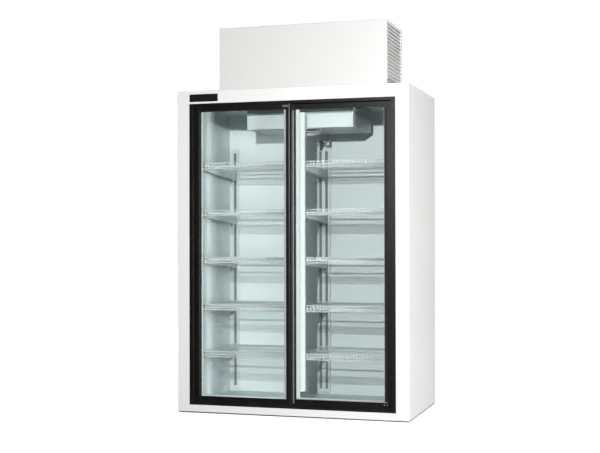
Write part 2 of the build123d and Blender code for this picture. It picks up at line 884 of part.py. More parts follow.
rocker_half = rocker_length / 2
with BuildPart() as light_switch:
    with BuildSketch(Plane(origin=switch_place, x_dir=(1, 0, 0), z_dir=(0, -1, 0))):
        with BuildLine():
            Polyline(
                (-rocker_depth / 2, rocker_half),
                (-rocker_depth / 4, 0),
                (-rocker_depth / 2, -rocker_half),
                (rocker_depth / 4, -rocker_half / 2),
                (rocker_depth / 4, rocker_half / 2),
                close=True,
            )
        make_face()
        Circle(rocker_pin_radius + running_clearance, mode=Mode.SUBTRACT)
    extrude(amount=rocker_width / 2, both=True)
keep("light_switch", light_switch.part)

# Drain of the unit cooler

elbow_inlet = body_base + elbow_top - elbow_radius
elbow_foot = body_base + elbow_bottom
elbow_outlet = body_base + standard_top + elbow_radius + elbow_gap
elbow_spot = (elbow_x, inner_back - elbow_wall_gap)
elbow_runs = (
    (Plane((*elbow_spot, elbow_foot)), elbow_top - elbow_bottom),
    (Plane(origin=(*elbow_spot, elbow_inlet), z_dir=(1, 0, 0)), elbow_radius + elbow_socket),
    (Plane(origin=(*elbow_spot, elbow_outlet), z_dir=(0, 1, 0)), inner_back - elbow_spot[1]),
)
with BuildPart() as drain_elbow:
    for run, length in elbow_runs:
        with BuildSketch(run):
            Circle(elbow_radius)
        extrude(amount=length)
keep("drain_elbow", drain_elbow.part)

hose_end = elbow_x + elbow_radius + elbow_socket
hose_floor = body_base + hose_low
with BuildLine():
    hose_route = FilletPolyline(
        (hose_x, cooler_back - hose_spigot_inset, cooler_base),
        (hose_x, cooler_back - hose_spigot_inset, cooler_base - hose_drop),
        (hose_x, elbow_spot[1], hose_floor),
        (hose_end + hose_bend + elbow_gap, elbow_spot[1], hose_floor),
        (hose_end + hose_bend + elbow_gap, elbow_spot[1], elbow_inlet),
        (hose_end, elbow_spot[1], elbow_inlet),
        radius=hose_bend,
    )
hose_points = []
for run in hose_route.order_edges():
    chords = 1 if run.geom_type == GeomType.LINE else hose_chords
    hose_points += [run @ (step / chords) for step in range(chords)]
hose_points.append(hose_route @ 1)

with BuildPart() as drain_hose:
    with BuildLine() as hose_path:
        Polyline(*hose_points)
    with BuildSketch(Plane(origin=hose_path.line @ 0, z_dir=hose_path.line % 0)):
        RegularPolygon(hose_radius, hose_sides)
    sweep(transition=Transition.RIGHT)
keep("drain_hose", drain_hose.part)

# Hood on the roof

sheet_top = hood_top_level - skin
with BuildPart() as hood_front:
    add(slab((hood_left, front, body_top), (hood_right, front + hood_return, sheet_top)))
    hood_hollow = slab(
        (hood_left + skin, front + skin, body_top + skin),
        (hood_right - skin, front + hood_return, sheet_top - skin),
    )
    add(hood_hollow, mode=Mode.SUBTRACT)
keep("hood_front", hood_front.part)

with BuildPart() as hood_top:
    add(slab((hood_left, front, sheet_top), (hood_right, hood_back, hood_top_level)))
keep("hood_top", hood_top.part)

side_start, side_end = front + hood_return, hood_back - skin
window_start, window_end = side_start + louvre_side_margin, side_end - louvre_side_margin
louvre_top = hood_top_level - louvre_top_margin
louvre_bottom = louvre_top - louvre_count * louvre_pitch


def louvred_side(outside, inward):
    """A side sheet of the hood with a window of sloping slats between two folded cheeks."""
    sheet = sorted((outside, outside + inward * skin))
    reach = sorted((outside, outside + inward * louvre_reach))
    with BuildPart() as panel:
        add(slab((sheet[0], side_start, body_top), (sheet[1], side_end, sheet_top)))
        window = slab((sheet[0], window_start, louvre_bottom), (sheet[1], window_end, louvre_top))
        add(window, mode=Mode.SUBTRACT)
        for low, high in ((window_start - skin, window_start), (window_end, window_end + skin)):
            add(slab((reach[0], low, louvre_bottom), (reach[1], high, louvre_top)))
        with BuildSketch(Plane(origin=(outside, window_start, 0), x_dir=(1, 0, 0), z_dir=(0, -1, 0))):
            for slat in range(louvre_count):
                foot = louvre_bottom + slat * louvre_pitch + louvre_pitch / 4
                with BuildLine():
                    Polyline(
                        (0, foot),
                        (inward * louvre_reach, foot + louvre_rise),
                        (inward * louvre_reach, foot + louvre_rise + skin),
                        (0, foot + skin),
                        close=True,
                    )
                make_face()
        extrude(amount=window_start - window_end)
    return panel.part


keep("hood_left_louvres", louvred_side(hood_left, 1))
keep("hood_right_louvres", louvred_side(hood_right, -1))

with BuildPart() as hood_rear:
    add(slab((hood_left, hood_back - skin, body_top), (hood_right, hood_back, sheet_top)))
    with Locations((hood_middle, hood_back, body_top + hood_height / 2)):
        for vent in range(hood_vents):
            with Locations((0, 0, (vent - (hood_vents - 1) / 2) * hood_vent_pitch)):
                Box(hood_vent_length, 2 * skin, hood_vent_height, mode=Mode.SUBTRACT)
keep("hood_rear", hood_rear.part)

# Condensing unit under the hood

tray_low = (hood_left + tray_margin, front + tray_margin, body_top)
tray_high = (hood_right - tray_margin, hood_back - tray_margin, body_top + tray_height)
with BuildPart() as condensing_base:
    add(slab(tray_low, tray_high))
    offset(amount=-tray_sheet, openings=condensing_base.faces().sort_by(Axis.Z)[-1])
keep("condensing_base", condensing_base.part)

unit_y = front + hood_depth / 2
tray_floor = body_top + tray_sheet
compressor_x = hood_left + compressor_inset
condenser_x = hood_right - condenser_inset
condenser_motor_x = hood_right - condenser_motor_inset
with BuildPart() as compressor:
    with Locations((compressor_x, unit_y, tray_floor)):
        Box(
            2 * compressor_foot_half,
            2 * compressor_foot_half,
            compressor_foot,
            align=(Align.CENTER, Align.CENTER, Align.MIN),
        )
    with Locations((compressor_x, unit_y, tray_floor + compressor_foot)):
        Cylinder(compressor_radius, compressor_height, align=(Align.CENTER, Align.CENTER, Align.MIN))
    chamfer(compressor.edges().filter_by(GeomType.CIRCLE).sort_by(Axis.Z)[-1], compressor_dome)
keep("compressor", compressor.part)

fin_pitch = (2 * condenser_half_depth - condenser_fin) / (condenser_fins - 1)
with BuildPart() as condenser_coil:
    with BuildSketch(Plane(origin=(condenser_x, unit_y, tray_floor), x_dir=(0, 1, 0), z_dir=(1, 0, 0))):
        with Locations((0, condenser_height / 2)):
            Rectangle(2 * condenser_half_depth, condenser_height)
            with GridLocations(fin_pitch, 0, condenser_fins - 1, 1):
                Rectangle(fin_pitch - condenser_fin, condenser_height - 2 * condenser_fin, mode=Mode.SUBTRACT)
    extrude(amount=condenser_thickness)
keep("condenser_coil", condenser_coil.part)

motor_level = tray_floor + condenser_height / 2
motor_end = condenser_motor_x + condenser_motor_length / 2
condenser_fan_x = motor_end + condenser_fan_gap
with BuildPart() as condenser_motor:
    with BuildPart(mode=Mode.PRIVATE) as motor_can:
        Cylinder(condenser_motor_radius, condenser_motor_length, rotation=(0, 90, 0))
    add(motor_can.part.moved(Location((condenser_motor_x, unit_y, motor_level))))
    with Locations((motor_end, unit_y, motor_level)):
        Cylinder(
            fan_shaft_radius,
            condenser_fan_gap + fan_hub_height / 2,
            rotation=(0, 90, 0),
            align=(Align.CENTER, Align.CENTER, Align.MIN),
        )
    stand_low = (
        condenser_motor_x - condenser_stand_thickness / 2,
        unit_y - condenser_stand_width / 2,
        tray_floor,
    )
    stand_high = (
        condenser_motor_x + condenser_stand_thickness / 2,
        unit_y + condenser_stand_width / 2,
        motor_level,
    )
    add(slab(stand_low, stand_high))
keep("condenser_motor", condenser_motor.part)

fan_plane = Plane(origin=(condenser_fan_x, unit_y, motor_level), z_dir=(1, 0, 0))
keep("condenser_fan", fan(fan_plane, fan_hub_height, condenser_fan_radius, condenser_blade_chord))
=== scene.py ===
"""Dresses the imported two-section glass door merchandiser with detailed pieces, finishes, light and a camera.

Arrays are in millimetres and become metres when a piece is placed. X runs right, Y into the cabinet, Z up.
"""

import logging
import math
from collections.abc import Sequence
from dataclasses import dataclass, field, replace
from enum import Enum
from functools import partial

import bmesh
import bpy
import numpy as np
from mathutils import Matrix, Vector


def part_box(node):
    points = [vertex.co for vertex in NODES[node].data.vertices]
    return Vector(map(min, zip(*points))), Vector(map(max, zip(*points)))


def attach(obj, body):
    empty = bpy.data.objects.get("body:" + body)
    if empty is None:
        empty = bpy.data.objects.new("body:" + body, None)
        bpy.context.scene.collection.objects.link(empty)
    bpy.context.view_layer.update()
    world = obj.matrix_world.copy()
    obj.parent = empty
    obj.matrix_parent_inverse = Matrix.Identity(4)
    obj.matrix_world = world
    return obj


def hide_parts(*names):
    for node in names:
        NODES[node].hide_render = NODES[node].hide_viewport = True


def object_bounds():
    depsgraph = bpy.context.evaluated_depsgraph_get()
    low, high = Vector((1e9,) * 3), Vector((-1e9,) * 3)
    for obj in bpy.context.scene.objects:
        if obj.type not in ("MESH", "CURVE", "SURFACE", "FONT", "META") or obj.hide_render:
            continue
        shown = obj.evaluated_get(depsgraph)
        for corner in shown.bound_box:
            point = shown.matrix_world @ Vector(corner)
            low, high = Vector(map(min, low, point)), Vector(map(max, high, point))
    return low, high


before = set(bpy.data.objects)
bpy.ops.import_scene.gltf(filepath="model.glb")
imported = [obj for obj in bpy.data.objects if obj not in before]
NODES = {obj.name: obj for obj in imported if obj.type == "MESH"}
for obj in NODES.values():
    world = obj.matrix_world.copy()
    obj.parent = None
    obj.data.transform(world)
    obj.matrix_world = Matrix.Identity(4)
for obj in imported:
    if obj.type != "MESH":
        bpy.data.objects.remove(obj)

log = logging.getLogger("merchandiser")
CAD_BOX = [list(corner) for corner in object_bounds()]
MM = 0.001
WELD = 2e-6


class Axis(Enum):
    """The direction in which a profile is carried or about which it is turned."""

    X = 0
    Y = 1
    Z = 2


def corner(node: str, high: bool) -> np.ndarray:
    """The lowest or highest corner of a CAD node at rest, in millimetres."""
    return np.array(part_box(node)[1 if high else 0]) / MM


def extent(node: str) -> tuple[np.ndarray, np.ndarray]:
    """Both corners of a CAD node at rest, in millimetres."""
    return corner(node, False), corner(node, True)


# Surfaces


@dataclass
class Skin:
    """Points in millimetres, faces as rows of four point numbers, and end caps as longer loops of them."""

    points: np.ndarray
    quads: np.ndarray = field(default_factory=lambda: np.zeros((0, 4), int))
    caps: list[list[int]] = field(default_factory=list)

    def moved(self, x: float = 0.0, y: float = 0.0, z: float = 0.0) -> "Skin":
        """A copy of the surface, carried by x, y and z."""
        return Skin(self.points + np.array([x, y, z]), self.quads, self.caps)


def joined(skins: list[Skin]) -> Skin:
    """Several surfaces as one.

    Args:
        skins: The surfaces, whose points are numbered on from each other.

    Returns:
        One surface that holds them all.
    """
    points, quads, caps, start = [], [], [], 0
    for skin in skins:
        points.append(skin.points)
        quads.append(skin.quads + start)
        caps.extend([[number + start for number in cap] for cap in skin.caps])
        start += len(skin.points)
    return Skin(np.concatenate(points), np.concatenate(quads), caps)


def grid(rows: np.ndarray, wrap_rows: bool = False, wrap_columns: bool = False) -> Skin:
    """A surface over a grid of points.

    Args:
        rows: Points as (row, column, 3). Face (i, j) joins rows i and i + 1 at columns j and j + 1.
        wrap_rows: Whether the last row joins the first.
        wrap_columns: Whether the last column joins the first.

    Returns:
        The surface, open at its ends where it doesn't wrap.
    """
    count, width = rows.shape[:2]
    i = np.arange(count if wrap_rows else count - 1)[:, None]
    j = np.arange(width if wrap_columns else width - 1)[None, :]
    below, right = (i + 1) % count, (j + 1) % width
    quads = np.stack([i * width + j, below * width + j, below * width + right, i * width + right], axis=-1)
    return Skin(rows.reshape(-1, 3).astype(float), quads.reshape(-1, 4))


def prism(profile: np.ndarray | list, axis: Axis, start: float, stop: float) -> Skin:
    """A closed profile carried straight along an axis, with both ends capped.

    Args:
        profile: Corners as (point, 2), in the two directions other than the axis, in X, Y, Z order.
        axis: The direction in which the profile is carried.
        start: Where the prism begins on the axis.
        stop: Where it ends.

    Returns:
        A closed surface.
    """
    ring = np.asarray(profile, float)
    body = grid(np.stack([np.insert(ring, axis.value, level, axis=1) for level in (start, stop)]), False,
        True)
    count = len(ring)
    body.caps = [list(range(count)), list(range(count, 2 * count))]
    return body


def chamfered(corners: list[tuple[float, float]], size: float) -> np.ndarray:
    """A closed outline whose corners are each cut by a short edge.

    Args:
        corners: The outline's corners in order.
        size: How far each cut starts from its corner.

    Returns:
        Twice as many points: size along the edge before and after each corner.
    """
    points = np.asarray(corners, float)
    back = np.roll(points, 1, axis=0) - points
    ahead = np.roll(points, -1, axis=0) - points
    back /= np.linalg.norm(back, axis=1)[:, None]
    ahead /= np.linalg.norm(ahead, axis=1)[:, None]
    return np.stack([points + size * back, points + size * ahead], axis=1).reshape(-1, 2)


def grooved(start: tuple, stop: tuple, centres: list[float], width: float, depth: float) -> np.ndarray:
    """A straight edge with square grooves, cut to the left of its direction.

    Args:
        start: First point of the edge.
        stop: Last point of the edge.
        centres: Middles of the grooves as distances from start.
        width: Width of a groove.
        depth: Depth of a groove.

    Returns:
        start, four points for each groove, and stop.
    """
    a, b = np.asarray(start, float), np.asarray(stop, float)
    along = (b - a) / np.linalg.norm(b - a)
    inward = np.array([-along[1], along[0]])
    reach = np.asarray(centres, float)[:, None] + np.array([-0.5, -0.5, 0.5, 0.5]) * width
    drop = np.array([0.0, 1.0, 1.0, 0.0]) * depth
    cuts = a + reach[..., None] * along + drop[None, :, None] * inward
    return np.concatenate([[a], cuts.reshape(-1, 2), [b]])


def rounded_box(low: tuple, high: tuple, radius: float, steps: int = 2) -> Skin:
    """A box with round edges: the points of a small sphere, each pushed out to the nearest corner of the box.

    Args:
        low: Lowest corner.
        high: Highest corner.
        radius: Radius of the edges.
        steps: Faces across a quarter turn.

    Returns:
        A closed surface.
    """
    low, high = np.asarray(low, float), np.asarray(high, float)
    middle, half = (low + high) / 2, (high - low) / 2 - radius
    sweep = np.linspace(0, math.pi / 2, steps + 1)
    turn = (np.arange(4)[:, None] * math.pi / 2 + sweep).ravel()
    quarter = np.repeat(np.arange(4), steps + 1)
    sign_x, sign_y = np.array([1, -1, -1, 1])[quarter], np.array([1, 1, -1, -1])[quarter]
    lift = np.concatenate([sweep - math.pi / 2, sweep])
    sign_z = np.repeat([-1, 1], steps + 1)
    normal = np.stack([np.cos(lift)[:, None] * np.cos(turn), np.cos(lift)[:, None] * np.sin(turn),
        np.repeat(np.sin(lift)[:, None], len(turn), 1)], axis=-1)
    sign = np.stack(np.broadcast_arrays(sign_x[None, :], sign_y[None, :], sign_z[:, None]), axis=-1)
    skin = grid(middle + sign * half + radius * normal, False, True)
    last = (len(lift) - 1) * len(turn)
    ends = [k * (steps + 1) for k in range(4)]
    skin.caps = [ends, [last + k for k in ends]]
    return skin


def pan(low: np.ndarray, high: np.ndarray, radius: float, sheet: float, steps: int = 5) -> Skin:
    """A folded sheet pan that opens towards +Y.

    Args:
        low: Lowest corner.
        high: Highest corner.
        radius: Outer radius of the folds.
        sheet: Thickness of the sheet.
        steps: Faces across a fold.

    Returns:
        Rectangles lofted from the face round the folds to the rim and back inside, with both faces capped.
    """
    turn = np.linspace(0, math.pi / 2, steps + 1)
    rows = [(radius - radius * math.sin(a), low[1] + radius - radius * math.cos(a)) for a in turn]
    rows += [(0.0, high[1]), (sheet, high[1])]
    rows += [(sheet, low[1] + radius), (radius, low[1] + sheet)]
    skin = grid(np.stack([rectangle(low[::2], high[::2], y, inset) for inset, y in rows]), False, True)
    last = 4 * (len(rows) - 1)
    skin.caps = [[0, 1, 2, 3], [last, last + 1, last + 2, last + 3]]
    return skin


def rectangle(low: Sequence, high: Sequence, y: float, inset: float = 0.0) -> np.ndarray:
    """The corners of an upright rectangle.

    Args:
        low: Lowest X and Z.
        high: Highest X and Z.
        y: Its depth.
        inset: How far each side moves inwards.

    Returns:
        Four points, from the lowest X and Z up, across and down.
    """
    a, b, c, d = low[0] + inset, high[0] - inset, low[1] + inset, high[1] - inset
    return np.array([(a, y, c), (a, y, d), (b, y, d), (b, y, c)])


def bent(corners: list[tuple], radius: float, steps: int = 4) -> np.ndarray:
    """A path of straight runs whose corners are rounded by arcs.

    Args:
        corners: The path's corners in space.
        radius: Radius of the arcs.
        steps: Runs in each arc.

    Returns:
        The path's points. Each arc is the circle that touches both runs, reached from its middle.
    """
    spots = np.asarray(corners, float)
    path = [spots[0]]
    for before, here, after in zip(spots, spots[1:], spots[2:]):
        a = (before - here) / np.linalg.norm(before - here)
        b = (after - here) / np.linalg.norm(after - here)
        half = math.acos(np.clip(a @ b, -1, 1)) / 2
        bisector = (a + b) / np.linalg.norm(a + b)
        middle = here + bisector * radius / math.sin(half)
        first = here + a * radius / math.tan(half) - middle
        last = here + b * radius / math.tan(half) - middle
        angle = math.acos(np.clip(first @ last / radius**2, -1, 1))
        share = np.linspace(0, 1, steps + 1)[:, None]
        path.extend(middle + (np.sin((1 - share) * angle) * first + np.sin(share * angle)
            * last) / math.sin(angle))
    path.append(spots[-1])
    return np.array(path)


def tube(path: np.ndarray, radius: float, hint: tuple, sides: int = 8, closed: bool = False) -> Skin:
    """A round tube: a circle carried square to a path.

    Args:
        path: Points of the path.
        radius: Radius of the tube.
        hint: A direction that the path never takes, such as the normal of its plane.
        sides: Faces round the tube.
        closed: Whether the path's end joins its start.

    Returns:
        A closed surface.
    """
    points = np.asarray(path, float)
    if closed:
        along = np.roll(points, -1, axis=0) - np.roll(points, 1, axis=0)
    else:
        along = np.gradient(points, axis=0)
    along /= np.linalg.norm(along, axis=1)[:, None]
    side = np.cross(along, np.asarray(hint, float))
    side /= np.linalg.norm(side, axis=1)[:, None]
    up = np.cross(side, along)
    turn = np.linspace(0, 2 * math.pi, sides, endpoint=False)
    ring = np.cos(turn)[None, :, None] * side[:, None] + np.sin(turn)[None, :, None] * up[:, None]
    skin = grid(points[:, None] + radius * ring, closed, True)
    if not closed:
        last = (len(points) - 1) * sides
        skin.caps = [list(range(sides)), list(range(last, last + sides))]
    return skin


def lathe(profile: list[tuple[float, float]], centre: tuple, axis: Axis, sides: int = 32,
        sign: int = 1) -> Skin:
    """A profile of radii and heights turned about an axis.

    Args:
        profile: (radius, height) pairs. A radius of 0 closes an end.
        centre: The point of the axis at height 0.
        axis: The axis of the turn.
        sides: Faces round it.
        sign: -1 to count the heights downwards.

    Returns:
        The surface.
    """
    shape = np.asarray(profile, float)
    turn = np.linspace(0, 2 * math.pi, sides, endpoint=False)
    points = np.zeros((len(shape), sides, 3))
    first, second = (axis.value + 1) % 3, (axis.value + 2) % 3
    points[..., first] = shape[:, :1] * np.cos(turn)
    points[..., second] = shape[:, :1] * np.sin(turn)
    points[..., axis.value] = sign * shape[:, 1:]
    return grid(points + np.asarray(centre, float), False, True)


def pierced(origin: tuple, across: Axis, up: Axis, xs: list, ys: list, solid: np.ndarray,
        depth: tuple) -> Skin:
    """A flat sheet of cells, some of them holes, with its thickness.

    Args:
        origin: The point that xs, ys and depth count from.
        across: The direction of xs.
        up: The direction of ys.
        xs: Cell borders across.
        ys: Cell borders up.
        solid: True for each cell (row, column) that is sheet.
        depth: The sheet's two faces along the third direction.

    Returns:
        Both faces of the sheet, and walls wherever a cell meets a hole or the outside.
    """
    third = 3 - across.value - up.value
    rows, columns = len(ys), len(xs)
    points = np.zeros((2, rows, columns, 3))
    points[..., across.value] = np.asarray(xs, float)
    points[..., up.value] = np.asarray(ys, float)[:, None]
    points[..., third] = np.asarray(depth, float)[:, None, None]
    number = np.arange(2 * rows * columns).reshape(2, rows, columns)
    cells = []
    for n in number:
        cells.append(np.stack([n[:-1, :-1], n[:-1, 1:], n[1:, 1:], n[1:, :-1]], axis=-1)[solid])
    padded = np.pad(solid, 1)
    walls = []
    for line in (np.diff(padded[1:-1].astype(int), axis=1), np.diff(padded[:, 1:-1].astype(int), axis=0)):
        where = np.argwhere(line != 0)
        upright = line.shape[0] == rows - 1
        ends = where + (np.array([1, 0]) if upright else np.array([0, 1]))
        a, b = number[:, where[:, 0], where[:, 1]], number[:, ends[:, 0], ends[:, 1]]
        walls.append(np.stack([a[0], b[0], b[1], a[1]], axis=-1))
    quads = np.concatenate([*cells, *walls])
    return Skin(points.reshape(-1, 3) + np.asarray(origin, float), quads)


# Node groups that more than one material uses


@dataclass
class Graph:
    """Adds nodes to a tree and links them."""

    tree: bpy.types.NodeTree

    def add(self, kind: str, inputs: dict | None = None, **settings: object) -> bpy.types.Node:
        """One node.

        Args:
            kind: Node type without its ShaderNode prefix.
            inputs: Socket name or number to a value or to the socket that feeds it.
            settings: Attributes of the node.

        Returns:
            The node.
        """
        prefix = "" if kind.startswith("Node") else "ShaderNode"
        made = self.tree.nodes.new(prefix + kind)
        for key, value in settings.items():
            setattr(made, key, value)
        for key, value in (inputs or {}).items():
            if isinstance(value, bpy.types.NodeSocket):
                self.tree.links.new(value, made.inputs[key])
            else:
                made.inputs[key].default_value = value
        return made

    def maths(self, operation: str, a: object, b: object = 0.0, clamp: bool = False,
            c: object = 0.0) -> bpy.types.NodeSocket:
        """The output of a Math node. Only MULTIPLY_ADD reads c."""
        inputs = {0: a, 1: b, 2: c} if operation == "MULTIPLY_ADD" else {0: a, 1: b}
        return self.add("Math", inputs, operation=operation, use_clamp=clamp).outputs[0]

    def mix(self, share: object, a: object, b: object, blend: str = "MIX") -> bpy.types.NodeSocket:
        """Colour a with b laid over it by share."""
        return self.add("Mix", {0: share, 6: a, 7: b}, data_type="RGBA", blend_type=blend).outputs[2]


def new_group(name: str, takes: dict[str, tuple], gives: dict[str, str]) -> tuple[bpy.types.NodeTree, Graph]:
    """An empty shader node group.

    Args:
        name: The group's name.
        takes: Input name to (socket type, default value).
        gives: Output name to socket type.

    Returns:
        The group and a graph to fill it with.
    """
    tree = bpy.data.node_groups.new(name, "ShaderNodeTree")
    for label, (kind, value) in takes.items():
        made = tree.interface.new_socket(label, in_out="INPUT", socket_type="NodeSocket" + kind)
        made.default_value = value
    for label, kind in gives.items():
        tree.interface.new_socket(label, in_out="OUTPUT", socket_type="NodeSocket" + kind)
    return tree, Graph(tree)


def grain_group() -> bpy.types.NodeTree:
    """Grain that can be drawn out along a direction, with slow mottling of the colour.

    Returns:
        A group whose Colour is the base mixed towards a shade by slow noise and fine grain, whose Roughness
        swings about its middle by the same fine grain, and whose Height is the grain itself.
    """
    tree, g = new_group("surface_grain", {"Base": ("Color", (0.8, 0.8, 0.8, 1)),
        "Shade": ("Color", (0.6, 0.6, 0.6, 1)), "Scale": ("Float", 200.0), "Stretch": ("Vector", (1, 1, 1)),
        "Mottle": ("Float", 0.2), "Roughness": ("Float", 0.4), "Swing": ("Float", 0.1)},
        {"Colour": "Color", "Roughness": "Float", "Height": "Float"})
    took = g.add("NodeGroupInput").outputs
    place = g.add("TexCoord").outputs["Object"]
    drawn = g.add("VectorMath", {0: place, 1: took["Stretch"]}, operation="MULTIPLY").outputs[0]
    fine = g.add("TexNoise", {"Vector": drawn, "Scale": took["Scale"], "Detail": 3.0,
        "Roughness": 0.6}).outputs[0]
    slow = g.add("TexNoise", {"Vector": place, "Scale": 3.1, "Detail": 2.0, "Distortion": 0.4}).outputs[0]
    both = g.maths("MULTIPLY_ADD", slow, 0.65, c=g.maths("MULTIPLY", fine, 0.35))
    share = g.maths("MULTIPLY", both, took["Mottle"], True)
    colour = g.mix(share, took["Base"], took["Shade"])
    swing = g.maths("MULTIPLY", g.maths("SUBTRACT", fine, 0.5), took["Swing"])
    rough = g.maths("ADD", took["Roughness"], swing, True)
    g.add("NodeGroupOutput", {"Colour": colour, "Roughness": rough, "Height": fine})
    return tree


def wear_group() -> bpy.types.NodeTree:
    """Edges rubbed thin: where a rounded normal parts from the flat one, broken up by noise."""
    tree, g = new_group("edge_wear", {"Reach": ("Float", 0.001), "Amount": ("Float", 0.5)}, {"Mask": "Float"})
    took = g.add("NodeGroupInput").outputs
    soft = g.add("Bevel", {"Radius": took["Reach"]}, samples=4).outputs[0]
    flat = g.add("NewGeometry").outputs["True Normal"]
    alike = g.add("VectorMath", {0: soft, 1: flat}, operation="DOT_PRODUCT").outputs["Value"]
    edge = g.maths("MULTIPLY", g.maths("SUBTRACT", 0.985, alike), 6.0, True)
    place = g.add("TexCoord").outputs["Object"]
    patch = g.add("TexNoise", {"Vector": place, "Scale": 38.0, "Detail": 4.0}).outputs[0]
    broken = g.maths("MULTIPLY", g.maths("SUBTRACT", patch, 0.42), 5.0, True)
    worn = g.maths("MULTIPLY", g.maths("MULTIPLY", edge, broken), took["Amount"], True)
    g.add("NodeGroupOutput", {"Mask": worn})
    return tree


def dust_group() -> bpy.types.NodeTree:
    """Dust that lies on faces that look up and gathers near the floor."""
    tree, g = new_group("settled_dust", {"Amount": ("Float", 0.3), "Floor reach": ("Float", 0.08)},
        {"Mask": "Float"})
    took = g.add("NodeGroupInput").outputs
    up = g.add("SeparateXYZ", {0: g.add("NewGeometry").outputs["Normal"]}).outputs["Z"]
    lying = g.maths("POWER", g.maths("MAXIMUM", up, 0.0), 4.0)
    place = g.add("TexCoord").outputs["Object"]
    height = g.add("SeparateXYZ", {0: place}).outputs["Z"]
    low = g.maths("SUBTRACT", 1.0, g.maths("DIVIDE", height, took["Floor reach"]), True)
    patch = g.add("TexNoise", {"Vector": place, "Scale": 9.0, "Detail": 5.0, "Roughness": 0.65}).outputs[0]
    where = g.maths("ADD", g.maths("MULTIPLY", lying, 0.7), g.maths("MULTIPLY", low, 0.5), True)
    mask = g.maths("MULTIPLY", g.maths("MULTIPLY", where, patch), took["Amount"], True)
    g.add("NodeGroupOutput", {"Mask": mask})
    return tree


GROUPS: dict[str, bpy.types.NodeTree] = {}
DUST_COLOUR = (0.42, 0.40, 0.36, 1.0)
# Painted shade: the tint that scattered light takes from a finish with bounce below 1, so that shade looks
# cyan.
BOUNCE_SHADE_TINT = (0.5, 1.0, 1.02)


def linear(code: str) -> tuple[float, float, float, float]:
    """A six-digit screen colour as linear red, green, blue and 1."""
    values = np.array([int(code[k : k + 2], 16) for k in (0, 2, 4)]) / 255
    low = values / 12.92
    high = ((values + 0.055) / 1.055) ** 2.4
    return (*np.where(values <= 0.04045, low, high).tolist(), 1.0)


# Finishes


def blank(name: str) -> tuple[bpy.types.Material, Graph]:
    """A new material without nodes, and a graph to fill it with."""
    made = bpy.data.materials.new(name)
    made.use_nodes = True
    made.node_tree.nodes.clear()
    return made, Graph(made.node_tree)


@dataclass(frozen=True)
class Finish:
    """An opaque finish: paint, metal, plastic or rubber.

    Attributes:
        name: Name of the material.
        slot: Material slot of the record that it belongs to; not used in this script.
        base: Screen colour of the surface.
        shade: Screen colour that the mottling leans to.
        rough: Middle roughness.
        metal: 1 for bare metal.
        grain: Grains per metre.
        stretch: Factors on the grain along X, Y and Z; a small one draws it out.
        mottle: How far the mottling goes.
        swing: How far the roughness swings.
        bump: Height of the grain in millimetres.
        coat: Weight of a clear coat.
        wear: How worn the edges are.
        worn: Screen colour of a worn edge.
        dust: How dusty it is.
        painted_glow: Strength of light painted onto the surface so that it looks lit; used for a lamp that is
            off.
        bounce: Share of its colour that light scattered between surfaces meets.
    """

    name: str
    slot: str
    base: str
    shade: str
    rough: float
    metal: float = 0.0
    grain: float = 400.0
    stretch: tuple[float, float, float] = (1.0, 1.0, 1.0)
    mottle: float = 0.15
    swing: float = 0.08
    bump: float = 0.02
    coat: float = 0.0
    wear: float = 0.0
    worn: str = "9a9a98"
    dust: float = 0.15
    painted_glow: float = 0.0
    bounce: float = 1.0

    def material(self) -> bpy.types.Material:
        """The material, made once."""
        known = bpy.data.materials.get(self.name)
        if known:
            return known
        made, g = blank(self.name)
        looks = {"Base": linear(self.base), "Shade": linear(self.shade), "Scale": self.grain,
            "Stretch": self.stretch, "Mottle": self.mottle, "Roughness": self.rough, "Swing": self.swing}
        grain = g.add("Group", looks, node_tree=GROUPS["grain"])
        colour, rough = grain.outputs["Colour"], grain.outputs["Roughness"]
        for amount, kind, over, roughness in ((self.wear, "wear", linear(self.worn), 0.35),
                (self.dust, "dust", DUST_COLOUR, 0.85)):
            if amount > 0:
                mask = g.add("Group", {"Amount": amount}, node_tree=GROUPS[kind]).outputs["Mask"]
                colour = g.mix(mask, colour, over)
                rough = g.add("Mix", {0: mask, 2: rough, 3: roughness}, data_type="FLOAT").outputs[0]
        # Painted shade: scattered light sees the colour darker and cyan, which deepens and tints the shade.
        if self.bounce < 1:
            scattered = g.add("LightPath").outputs["Is Diffuse Ray"]
            shade_dimming = (*(self.bounce * part for part in BOUNCE_SHADE_TINT), 1.0)
            colour = g.mix(scattered, colour, shade_dimming, "MULTIPLY")
        bump = g.add("Bump", {"Height": grain.outputs["Height"], "Distance": self.bump * MM, "Strength": 0.6})
        shader = g.add("BsdfPrincipled", {"Base Color": colour, "Roughness": rough, "Metallic": self.metal,
            "Coat Weight": self.coat, "Coat Roughness": 0.12, "Normal": bump.outputs[0]})
        if self.painted_glow > 0:
            g.tree.links.new(colour, shader.inputs["Emission Color"])
            shader.inputs["Emission Strength"].default_value = self.painted_glow
        g.add("OutputMaterial", {"Surface": shader.outputs[0]})
        made.diffuse_color = linear(self.base)
        return made


